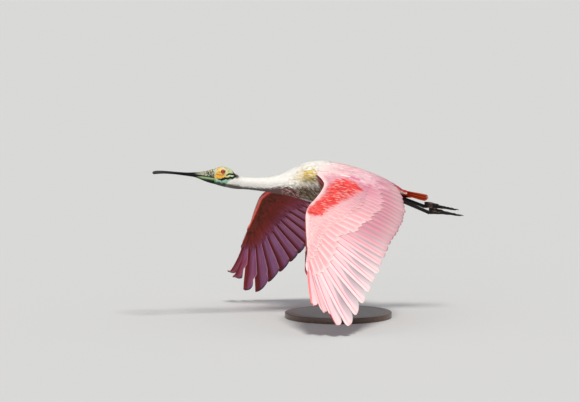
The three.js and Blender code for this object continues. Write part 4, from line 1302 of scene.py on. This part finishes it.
def body_tone(turn, v, chance, p):
    """Tones of neck and trunk by place, with painted shade under the neck, breast, flank and tail, and a
    painted rim of light along the top of the back.
    """
    x, off, z = p[..., 0], np.abs(p[..., 1]), p[..., 2]
    other = other_chance(chance, 7.7)
    high = np.sin(turn)
    low = smooth(0.2, -0.9, high)
    shade = smooth(-8, -26, z) * smooth(-96, -62, x) * smooth(20, -5, x) * smooth(10, 24, off)
    wash = hump((x + 52) / 24, (z - 4) / 14) * smooth(15, 28, off)
    tone = paint(
        blend(WHITE, PALE_PINK, smooth(-10, 130, x) * 0.75),
        (smooth(110, 230, x) * (0.6 + 0.4 * other), 218, 156, 172),
        # Painted rim of light: salmon along the top of the back.
        (smooth(30, 80, x) * smooth(0.965, 0.997, high) * 0.65, 250, 140, 122),
        # Painted shade: beige under the neck and breast.
        (low * 0.4 * smooth(-150, -90, x), 222, 204, 184),
        (low * smooth(0, 120, x) * 0.7, 228, 160, 166),
        (shade * (0.6 + 0.4 * smooth(0.1, 0.5, other)), 112, 84, 46),
        (np.clip(wash * (0.5 + 0.5 * other), 0, 0.8), 238, 220, 168),
    )
    yellow = hump((x + 31) / 20, (z - 15) / 15) * smooth(15, 28, off)
    gold = paint(rgb(240, 214, 116), (smooth(0.4, 0.8, chance), 220, 184, 62))
    tone = blend(tone, gold, np.clip(yellow * 1.9 * smooth(0.0, 0.35, other), 0, 0.95))
    # Painted shade: an olive patch on the breast's side below the yellow.
    olive_shade = hump((x + 28) / 22, (z + 1) / 10) * smooth(15, 30, off)
    tone = paint(
        tone,
        (np.clip(yellow * (other > 0.94), 0, 0.5), 236, 160, 124),
        (np.clip(olive_shade * 1.3 * smooth(0.1, 0.5, chance), 0, 0.8), 118, 102, 58),
    )
    # Painted shade: grey, dark brown and maroon under the throat, neck and breast.
    depth = line(SHADED_BELOW, x) - z
    below = smooth(-2, 3, depth + (4 + 10 * smooth(-150, -90, x)) * (other - 0.6))
    ink = paint(rgb(116, 112, 108), (smooth(-1, 5, depth), 52, 42, 24), (smooth(-190, -110, x), 92, 26, 20))
    curls = below * (chance > 0.78) * smooth(-115, -95, x) * smooth(0.4, 0.9, v)
    start = line(SHADED_ROSE_FLANK, z)
    flank = smooth(start, start + 5, x) * smooth(22, 14, z) * smooth(70, 45, x) * smooth(30, 40, off)
    rump_side = smooth(218, 232, x) * smooth(0.2, 0.0, high) * smooth(-0.6, -0.2, high)
    tone = paint(
        blend(tone, ink, below * 0.92),
        (np.clip(curls, 0, 0.85), 236, 186, 180),
        # Deep rose by the wing's root, darkened by painted shade.
        (flank * 0.92, 146, 56, 54),
        (np.clip(nape_patch(x, z) * (other > 0.12), 0, 0.93), 40, 37, 36),
        (smooth(216, 234, x) * smooth(0.05, 0.35, high) * 0.92, 186, 6, 8),
        (rump_side * 0.8, 214, 190, 180),
        # Carmine under the tail, darkened to maroon by painted shade.
        (smooth(214, 232, x) * smooth(-0.2, -0.6, high) * 0.9, 132, 16, 22),
    )
    return varied(tone, chance, 0.08)


# Where the feathers begin behind the bare head: sine of the turn, X.
PLUMAGE_START = [
    [-1, -270], [-0.66, -268], [-0.33, -261], [-0.13, -251], [0.15, -244], [0.5, -236], [0.62, -237],
    [0.9, -247], [1, -249],
]


def droop(x, turn):
    """How far the feathers of the breast's sides slant downwards, in radians."""
    return -0.65 * np.cos(turn) * smooth(-135, -85, x) * smooth(30, -10, x)


def neck_feathers(look):
    """Short, dense feathers that grow longer towards the breast."""
    rng = np.random.default_rng(21)

    def steps(x):
        behind_head = max(x + 260, 0)
        return 2.3 + 0.014 * behind_head, 2.6 + 0.008 * behind_head

    x, turn = body_places(-277, -70, steps, rng)
    kept = x > line(PLUMAGE_START, np.sin(turn)) + rng.random(len(x)) * 2
    x, turn = x[kept], turn[kept]
    grow = smooth(-258, -70, x)
    length, width, rise = 9 + 21 * grow, 2.8 + 3.2 * grow, 0.2 + 0.3 * grow
    piece = body_feathers("neck_feathers", x, turn, length, width, rise, 22, 0.3)
    finish_piece(piece, look, "plumage_white", "neck", "head")


def trunk_feathers(look):
    """Soft feathers over breast, back and belly."""
    x, turn = body_places(-76, 236, lambda x: (4.6, 5.2), np.random.default_rng(23))
    grow = smooth(-76, 60, x)
    piece = body_feathers("trunk_feathers", x, turn, 30 + 14 * grow, 6 + 3 * grow, 0.5, 24, 0.35)
    finish_piece(piece, look, "plumage_white", "torso")


# Tail

# Share of a feather's length, and half its width there in millimetres.
TAIL_WIDTHS = np.array([[0, 3.2], [0.4, 5.6], [0.72, 8.8], [0.88, 8.2], [0.96, 5.4], [1, 0.6]])


def tail_feathers(look, name, lengths, rise, tone_of, seed, grid=(16, 7)):
    """A fan of closed thin feathers under one another, with lengths from the middle outwards."""
    pairs = len(lengths)
    index, length = (np.tile(values, 2)[:, None, None] for values in (np.arange(pairs), lengths))
    side = np.repeat([1, -1], pairs)[:, None, None]
    chance = np.random.default_rng(seed).random(side.shape)
    v, u = leaf_grid(*grid)
    place = (index + 0.5) * side
    turn = place * 0.06
    back, across = length * v, along(TAIL_WIDTHS, v)[..., 0] * u
    x = TAIL_ROOT[0] + 3 + np.cos(turn) * back - np.sin(turn) * across
    y = place * 1.6 + np.sin(turn) * back + np.cos(turn) * across
    z = TAIL_ROOT[2] - TAIL_SLOPE * (3 + back) + TAIL_ROLL * (across + back * np.sin(turn))
    z = z + rise[0] + (rise[1] - rise[0]) * v - (index * 2 + (side < 0)) * 0.95 + 0.64 * (1 - u**2)
    half = 0.28 * (1 - u**2) + 0.3 * hump(u / 0.16)
    faces = [np.stack([x, y, z + half], -1), np.stack([x, y, z - half], -1)]
    tone = tone_of(v, chance, place)
    # The lower faces are darker, as painted shade.
    piece = feathers(name, faces, (tone, tone * 0.6), (v, u, chance), strips(2 * pairs, v, u))
    finish_piece(piece, look, "plumage_tail", "tail")


def rufous_tone(v, chance, place):
    """Orange-buff tail painted red-brown as shade, darkest on the near side, with the far side's edge bright
    orange as a painted highlight.
    """
    tone = paint(
        rgb(126, 18, 6),
        (smooth(0.3, 0.95, v), 152, 48, 15),
        (0.7 * smooth(0.5, -4.5, place), 112, 14, 8),
        (0.9 * smooth(3.2, 5.0, place), 246, 150, 74),
        (0.5 * smooth(0.45, 0.75, chance) * smooth(0.2, 0.5, v), 180, 84, 34),
    )
    return varied(tone, chance, 0.16)


def carmine_tone(v, chance, place):
    """Carmine on top, with a cream painted highlight towards the near side."""
    cream = smooth(-0.6, -2.2, place)
    tone = paint(rgb(178, 6, 8), (smooth(0.5, 1, v), 226, 40, 30), (cream * 0.9, 250, 224, 176))
    return varied(tone, chance, 0.2)


def maroon_tone(v, chance, place):
    """Carmine coverts under the tail, darkened to maroon as painted shade."""
    return varied(paint(rgb(96, 8, 12), (smooth(0.5, 1, v), 146, 26, 18)), chance, 0.3)


# Markings of the bare skin, the bill and the eyes

HORN_PALE = rgb(214, 212, 176)
BLACK_SKIN = rgb(20, 18, 18)

# Black lines of the head, as places of X and Z with half a width, from the back forwards.
BLACK_LINES = {
    "nape": [(-247, 34, 2.4), (-244, 29, 4.4), (-240, 23, 6.4), (-237, 17.5, 8.4), (-239, 13.6, 6.4)],
    "cheek": [
        (-242, 16, 4.8), (-250, 11.6, 3.8), (-258, 13.0, 3.2), (-266, 10.2, 3.6), (-274, 11.4, 2.9),
        (-281, 9.0, 3.2), (-287, 8.0, 2.4), (-292, 9.6, 1.4),
    ],
    "ear": [(-243, 22, 3.6), (-250, 20.6, 3.0), (-257, 22.6, 2.4), (-263, 22.8, 2.4), (-269, 19.4, 1.4)],
}
FACE_CREASE = [(-297, 24, 1.7), (-290, 21.5, 2.3), (-283, 20.2, 1.7), (-277, 22.2, 1.0)]
FACE_PITS = [(-287.2, 29, 1.7), (-286.8, 27.6, 1.2)]


def line_depth(x, z, path):
    """How far inside a line of changing width each place lies, in half widths: 1 at its middle."""
    best = np.full(x.shape, -9.0)
    for (x0, z0, w0), (x1, z1, w1) in zip(path[:-1], path[1:]):
        dx, dz = x1 - x0, z1 - z0
        f = np.clip(((x - x0) * dx + (z - z0) * dz) / (dx * dx + dz * dz), 0, 1)
        away = np.hypot(x - x0 - f * dx, z - z0 - f * dz)
        best = np.maximum(best, 1 - away / (w0 + (w1 - w0) * f))
    return best


def uneven(x, z):
    """A slow wobble of borders, about -1 to 1."""
    return 0.5 * np.sin(0.53 * x + 0.31 * z + 1) + 0.5 * np.sin(0.29 * x - 0.61 * z)


def head_tone(p):
    """Tone and depth of black of the bare head, by place, with painted shade under the throat."""
    x, side, z = p[:, 0], np.abs(p[:, 1]), p[:, 2]
    wobble = uneven(x, z)
    back_of_yellow = -269 - 0.5 * np.maximum(z - 14, 0) + 2.5 * wobble
    yellow = smooth(back_of_yellow + 3, back_of_yellow - 5, x) * smooth(9, 13, z + uneven(z, x))
    ring = hump((np.hypot((x + 277.8) / 1.05, z - 29) - 8.8) / 2.6)
    ring = ring * (0.45 + 0.55 * smooth(22, 34, z + 0.4 * (x + 278)))
    tone = paint(
        rgb(190, 204, 150),
        (smooth(28, 38, z + 2 * wobble), 204, 202, 158),
        (yellow * (1 - 0.5 * smooth(35, 41, z)), 240, 184, 66),
        (ring * 0.7, 236, 220, 166),
        (np.clip(line_depth(x, z, FACE_CREASE) + 0.45, 0, 1) * 0.85, 190, 112, 40),
        (np.clip(line_depth(x, z, FACE_PITS) + 0.3, 0, 1) * 0.8, 120, 78, 44),
        (hump((x + 257.5) / 6, (z - 17.5) / 3.2) * 0.8, 222, 234, 190),
        (smooth(11, 6, z + 1.5 * wobble) * 0.9, 162, 212, 190),
        # Painted shade under the throat.
        (smooth(-0.53, -0.76, turn_sine(p) + 0.05 * wobble) * 0.95, 32, 46, 32),
    )
    bill_edge = -302.6 + 11.0 * np.clip((z - 10) / 26, 0, 1) ** 1.5
    horn = smooth(0.5, -0.5, x - bill_edge) * smooth(8.5, 10.5, z)
    lumps = smooth(0.35, 0.75, np.sin(1.25 * x + 0.5 * z) * np.sin(1.05 * z - 0.55 * x + 0.1 * side))
    tone = blend(tone, blend(HORN_PALE, BLACK_SKIN, lumps), horn)
    black = np.maximum.reduce([line_depth(x, z, path) for path in BLACK_LINES.values()])
    on_top = smooth(7, 3, side) * smooth(-253, -248, x) * smooth(-236, -241, x) * smooth(26, 30, z)
    return tone, np.maximum(black * smooth(0, 3, side), on_top * 1.2 - 0.3)


def turn_sine(p):
    """How high each point lies on the body's section: 1 at its top, -1 at its underside."""
    top, underside, _ = np.moveaxis(along(BODY, np.clip(p[:, 0], -303, 270)), -1, 0)
    widest = underside + (top - underside) * WIDEST_SHARE
    reach = np.where(p[:, 2] > widest, top - widest, widest - underside)
    return np.clip((p[:, 2] - widest) / np.maximum(reach, 1), -1, 1)


def points_of(piece):
    co = np.empty(len(piece.data.vertices) * 3, np.float32)
    piece.data.vertices.foreach_get("co", co)
    return co.reshape(-1, 3) / MM - SHOULDERS


def paint_skin(skin):
    """The skin's tones: bare head, plumage's ground, and dark legs. The masks are black, head and leg."""
    p = points_of(skin)
    x, off, z = p[:, 0], np.abs(p[:, 1]), p[:, 2]
    tones, black = head_tone(p)
    on_head = smooth(1.5, -1.5, x - line(PLUMAGE_START, turn_sine(p)))
    # Painted shade: the ground under the neck is dark like the feathers over it.
    shaded_under_neck = smooth(-2, 3, line(SHADED_BELOW, x) - z) * smooth(-60, -110, x)
    ground = paint(
        blend(WHITE, PALE_PINK, smooth(-60, 80, x)),
        (smooth(55, 80, off) * smooth(-20, -60, z), 244, 168, 180),
        (shaded_under_neck * 0.9, 60, 54, 44),
        (np.clip(1.2 * nape_patch(x, z), 0, 0.93), 40, 37, 36),
    )
    legs = np.maximum(smooth(236, 242, x) * smooth(31, 30, off) * (z < -50), smooth(272, 276, x))
    tones = paint(blend(ground, tones, on_head), (legs, 9, 6, 7))
    # Painted highlights, stronger on the toes.
    leg_highlight = legs * (0.6 + 0.4 * smooth(318, 330, x))
    paint_points(skin.data, tones, mask=np.stack([black * on_head, on_head, leg_highlight], -1))


def skin_material():
    """Wrinkled bare skin with black lines, and small plates and painted highlights on the legs."""
    tree, material = new_tree("bare_skin")
    place = object_place(tree)
    black, on_head, on_leg = attribute(tree, "mask").split()
    mottle = place.noise(260, 4, 0.6)
    tone = attribute(tree, "tone", "Color")
    tone = tone.tinted(mottle.ramp((0.42, 0), (0.7, 0.35)), (0.6, 0.62, 0.42))
    tone = tone.tinted(place.noise(700, 2).ramp((0.6, 0), (0.72, 0.5)), (0.55, 0.5, 0.4))
    frayed = black + (place.noise(320, 3) - 0.5) * 2.4
    tone = tone.mix((frayed + 0.5).ramp((0.42, 0), (0.58, 1)) * on_head, BLACK_SKIN)
    plates = place.stretch(1, 1.3, 1.3).cells(460, "DISTANCE_TO_EDGE")
    # Painted highlights: thin pinkish-brown lines on the black legs.
    leg_highlight = place.stretch(0.3, 1.4, 1.4).noise(160, 3).ramp((0.57, 0), (0.62, 0.6))
    tone = tone.mix(leg_highlight * on_leg.ramp((0.7, 0), (1.0, 1)), rgb(190, 146, 132))
    tone = tone.mix(plates.ramp((0.02, 1), (0.12, 0)) * (on_leg * 0.8), rgb(20, 12, 12))
    wrinkles = place.stretch(1, 1, 2.2).noise(520, 4, 0.65, 0.8) + place.cells(900) * 0.5
    relief = wrinkles * on_head + plates.ramp((0, 0), (0.16, 1)) * on_leg
    return shaded(material, Base_Color=tone, Roughness=mottle * 0.3 + 0.32, Specular_IOR_Level=0.28,
                  Normal=relief.bump(0.8, 0.9))


def paint_bill(piece, way):
    """The tones of the bill's upper half (way 1) or lower half (way -1), with painted light and shade along
    the gape and on the lower half's base, and as a mask how ridged it is.
    """
    p = points_of(piece)
    x = p[:, 0]
    off_gape = p[:, 2] - along(BILL, x)[:, 0]
    base = smooth(-362, -322, x)
    dark = rgb(9, 10, 12)
    if way > 0:
        ridged = base
        tones = paint(
            blend(dark, HORN_PALE, base),
            (hump((off_gape - 5) / 1.6) * base * 0.8, 206, 210, 196),
            # Painted shade along the gape.
            (smooth(4.6, 3.2, off_gape) * smooth(-390, -356, x), 12, 12, 11),
        )
    else:
        ridged = base * 0.25
        # Painted light and shade: the lower half's base paler at the top and dark at the bottom.
        strip = paint(
            rgb(70, 100, 70),
            (smooth(-6.5, -3.5, off_gape), 146, 170, 122),
            (smooth(-6, -9.5, off_gape), 20, 30, 22),
        )
        tones = blend(dark, strip, smooth(-358, -334, x))
    tones = paint(tones, (smooth(-440, -470, x) * 0.4, 64, 66, 66))
    paint_points(piece.data, tones, mask=np.repeat(ridged[:, None], 3, 1))


def horn_material():
    """Horn: smooth and dark towards the end, lumpy and streaked with black at the base."""
    tree, material = new_tree("bill_horn")
    place = object_place(tree)
    ridged = attribute(tree, "mask").split()[0]
    pushed = place.stretch(1.3, 0.9, 1.1).shifted(place.noise(120, 2) * 0.004)
    lumps = pushed.cells(210, "DISTANCE_TO_EDGE").ramp((0.06, 1), (0.15, 0))
    folds = place.stretch(1.3, 1, 1.2).noise(210, 4, 0.6, 1.2).ramp((0.53, 0), (0.57, 1))
    furrow = lumps.math("MAXIMUM", lumps, folds)
    streak = place.stretch(0.25, 1.6, 1.6).noise(420, 3)
    tone = attribute(tree, "tone", "Color").mix(furrow * (ridged * 0.96), rgb(12, 12, 11))
    tone = tone.tinted(streak.ramp((0.45, 0), (0.7, 0.5)), (1.8, 1.8, 1.75))
    relief = (1.0 - furrow) * ridged + streak * 0.25
    return shaded(material, Base_Color=tone, Roughness=streak * 0.25 + 0.42, Specular_IOR_Level=0.14,
                  Normal=relief.bump(0.9, 0.8))


def paint_eye(piece, side):
    """Red iris round a dark pupil, by the distance from the pupil's middle."""
    p = points_of(piece) - mirrored(EYE, side)
    axis = unit(mirrored(EYE_AXIS, side))
    off = np.linalg.norm(p - (p @ axis)[:, None] * axis, axis=1) + 20 * ((p @ axis) < 0)
    tones = paint(
        rgb(200, 46, 6),
        (smooth(3.4, 5.0, off), 124, 14, 4),
        (smooth(2.3, 2.0, off), 8, 8, 6),
        (smooth(4.9, 5.4, off), 20, 8, 6),
    )
    paint_points(piece.data, tones)


def eye_material():
    tree, material = new_tree("wet_eye")
    rays = object_place(tree).noise(1400, 3, 0.7).ramp((0.4, 0), (0.7, 0.5))
    tone = attribute(tree, "tone", "Color").tinted(rays, (1.7, 1.3, 1.2))
    return shaded(material, Base_Color=tone, Roughness=0.06, Specular_IOR_Level=0.3, Coat_Weight=0.3,
                  Coat_Roughness=0.02)


def claw_material():
    tree, material = new_tree("claw_horn")
    grain = object_place(tree).stretch(0.3, 2, 2).noise(900, 3)
    return shaded(material, Base_Color=mix(tree, grain, rgb(16, 13, 13), rgb(58, 46, 44)),
                  Roughness=grain * 0.3 + 0.2, Normal=grain.bump(0.2, 0.6))


def wood_material():
    """Dark stained wood, with grain along Y and a satin finish."""
    tree, material = new_tree("stand_wood")
    place = object_place(tree)
    cloud = place.stretch(3, 0.5, 3).noise(6, 4, 0.6)
    rings = place.stretch(26, 0.9, 26).noise(4, 6, 0.62, 0.8)
    pores = place.stretch(60, 2.5, 60).noise(12, 3)
    tone = mix(tree, rings.ramp((0.3, 0), (0.72, 1)), rgb(62, 46, 38), rgb(112, 84, 64))
    tone = tone.mix(cloud * 0.5, rgb(70, 50, 40)).mix(pores.ramp((0.6, 0), (0.7, 0.7)), rgb(36, 26, 22))
    return shaded(material, Base_Color=tone, Roughness=rings * 0.2 + 0.28, Coat_Weight=0.3,
                  Coat_Roughness=0.25, Normal=pores.bump(0.2, 0.4))


def steel_material():
    """Steel brushed round the rod."""
    tree, material = new_tree("stand_steel")
    place = object_place(tree)
    brush = place.stretch(4, 4, 900).noise(3, 3)
    return shaded(material, Base_Color=mix(tree, brush, rgb(150, 152, 158), rgb(196, 198, 202)), Metallic=1.0,
                  Roughness=brush * 0.2 + place.noise(20, 3) * 0.15 + 0.15, Normal=brush.bump(0.05, 0.5))


# Feathers that bridge back and wing


def through(stops, share):
    """A smooth path through five stops, laid along the last axis but one, at shares from 0 to 1."""
    place = np.clip(share, 0, 1) * 4
    i = np.clip(np.floor(place).astype(int), 0, 3)
    f = (place - i)[..., None]
    numbers = np.clip(i[..., None] + np.arange(-1, 3), 0, 4)[..., None]
    a, b, c, d = np.moveaxis(np.take_along_axis(stops, numbers, -2), -2, 0)
    m, w = (c - a) / 2, (d - b) / 2
    return (2 * b - 2 * c + m + w) * f**3 + (3 * c - 3 * b - 2 * m - w) * f**2 + m * f + b


def bridge(x, share, side):
    """A soft surface from the side of the back (share 0) over the root of the wing (share 1)."""
    x, share = np.broadcast_arrays(x, share)
    stops = []
    for turn, lift in ((2.0, 0.2), (2.35, 1.4)):
        angle = turn if side < 0 else np.pi - turn
        stops.append(body_point(x, angle) + body_normal(x, angle) * lift)
    calm = 0.3 + 0.7 * smooth(165, 90, x)
    for k, lift in ((24.7, 2.4), (23.2, 1.5), (21.6, 0.8)):
        row = along(RIBS, k)
        t = np.clip((x - row[0]) / (row[3] - row[0]), 0.0, 1.02)
        stops.append(over_wing(k, t, flesh_half(k, t) + lift * calm, side))
    return through(np.stack(stops, -2), share)


# How far over the wing the scapulars reach: X, share of the bridge.
SCAPULAR_REACH = [[-10, 0.5], [20, 0.7], [60, 0.78], [100, 0.7], [150, 0.55], [190, 0.36]]


def bridge_tone(x, share, other, chance):
    """White over the shoulder, pale pink and mauve further back, with streaks of deeper pink."""
    streak = hump((share - 0.75) / 0.08) * smooth(50, 80, x) * smooth(165, 130, x)
    strength = 0.5 + 0.5 * other
    return paint(
        rgb(233, 226, 220),
        (smooth(0, 80, x + 60 * share), 246, 198, 201),
        (smooth(60, 150, x + 40 * share) * strength, 240, 194, 204),
        (smooth(140, 200, x + 40 * share) * strength, 219, 154, 170),
        (smooth(0.8, 0.95, chance) * smooth(20, 60, x) * 0.7, 226, 150, 178),
        (streak * smooth(0.25, 0.5, other) * 0.8, 212, 86, 128),
        (smooth(0.2, 0.05, chance) * 0.7, 246, 240, 233),
    )


def scapulars(name, side, look):
    """Long soft feathers from the shoulder backwards, over the crease between back and wing."""
    rng = np.random.default_rng(41)
    v, u = leaf_grid(8, 3)
    x, share = np.meshgrid(np.arange(-8, 170, 6.5), np.linspace(-0.02, 1.0, 17), indexing="ij")
    x = x.ravel() + (rng.random(x.size) - 0.5) * 7
    share = share.ravel() + (rng.random(share.size) - 0.5) * 0.06
    kept = share < line(SCAPULAR_REACH, x) + 0.14 * (rng.random(x.size) - 0.5)
    x, share = x[kept][:, None, None], share[kept][:, None, None]
    chance, other, drift = (rng.random(x.shape) for _ in range(3))
    length = (34 + 20 * smooth(-6, 90, x) - 8 * smooth(130, 170, x)) * (0.85 + 0.3 * chance)
    width = (6.5 + 3 * smooth(0, 120, x)) * (0.9 + 0.2 * other)
    across = u * (width * 0.5) * tip_outline(v, 0.4)
    reach = np.linalg.norm(bridge(x, 0.7, side) - bridge(x, 0.3, side), axis=-1) / 0.4
    x_at = x + length * v
    share_at = share + ((drift - 0.5) * 0.05 + 0.03) * v + across / reach
    step = 0.5
    lengthwise = bridge(x_at + step, share_at, side) - bridge(x_at - step, share_at, side)
    sideways = bridge(x_at, share_at + 0.01, side) - bridge(x_at, share_at - 0.01, side)
    surface, normal = bridge(x_at, share_at, side), unit(np.cross(lengthwise, sideways) * side)
    lay = -1.6 + (2.2 - 2.0 * smooth(70, 140, x)) * v + 0.4 * other
    height = lay + 0.05 * width * (1 - u**2) - 0.03 * across
    faces = two_faces(surface, normal, height, 0.13 * (1 - u**2))
    tone = bridge_tone(x_at, share_at, other, chance)
    uv = patches(0.02 + 0.96 * (x + 12) / 210, 0.04 + 0.9 * share, v, u, 0.006, 0.003)
    piece = feathers(f"scapulars_{name}", faces, (tone, tone), (v, u, chance), uv, flip=side > 0)
    finish_piece(piece, look, "plumage_white", "torso", f"wing_{name}_arm")


# The bird

# The CAD nodes that the skin stands for.
FLESH = ["torso", "neck", "head"]
FLESH += [f"{part}_{name}" for part in ("thigh", "tarsus", "foot") for name in SIDES]


def make_head_parts():
    """The bill, the eyes and the claws."""
    horn, eye, claw = horn_material(), eye_material(), claw_material()
    for name, way in (("upper", 1), ("lower", -1)):
        piece = solid_object(f"horn_{name}", bill_rings(way))
        paint_bill(piece, way)
        finish_piece(piece, horn, "bill_horn", f"bill_{name}")
    for name, side in SIDES.items():
        ball = solid_object(f"ball_{name}", eye_rings(side))
        paint_eye(ball, side)
        finish_piece(ball, eye, "eye", f"eye_{name}")
        for toe, (root, direction, length, _) in toe_paths(name).items():
            piece = solid_object(f"nail_{name}_{toe}", claw_rings(root, direction, length))
            finish_piece(piece, claw, "claw", f"claw_{name}_{toe}")


def make_bird():
    """Skin, feathers and hard parts."""
    skin = make_skin()
    paint_skin(skin)
    finish_piece(skin, skin_material(), "head_skin", *FLESH)
    make_head_parts()
    quills = quill_material()
    coverts = feather_material("covert_vanes", 90, rgb(244, 140, 150), 0.1, 0.3, 0.1)
    small = feather_material("small_vanes", 90, rgb(244, 120, 130), 0.1, 0.2, 0.05, 0.02)
    # Under the wing the shafts are dark red-brown, as painted shade.
    under = feather_material("under_vanes", 90, rgb(84, 30, 28), 0.1, 0.3, 0.0, 0.05)
    body = feather_material("body_vanes", 50, WHITE, 0.1, 0.1, 0.2, 0.2, (0.78, 0.74, 0.7))
    tail = feather_material("tail_vanes", 150, rgb(90, 16, 8), 0.08, 0.5, 0.0, 0.0)
    for name, side in SIDES.items():
        flight_feathers(name, side, quills)
        wing_coverts(name, side, coverts, small, under)
        scapulars(name, side, body)
    neck_feathers(body)
    trunk_feathers(body)
    pair = np.arange(6)
    tail_feathers(tail, "tail_quills", 82 * (1 - 0.006 * pair**2), (0, 0), rufous_tone, 31, (26, 9))
    tail_feathers(tail, "tail_coverts_upper", 21 * (1 - 0.04 * pair[:4]), (1.8, 1.2), carmine_tone, 32)
    tail_feathers(tail, "tail_coverts_under", 42 * (1 - 0.05 * pair[:5]), (-11, -1.5), maroon_tone, 33)


make_camera()
make_light()
make_floor()
make_bird()
make_stand(wood_material(), steel_material())
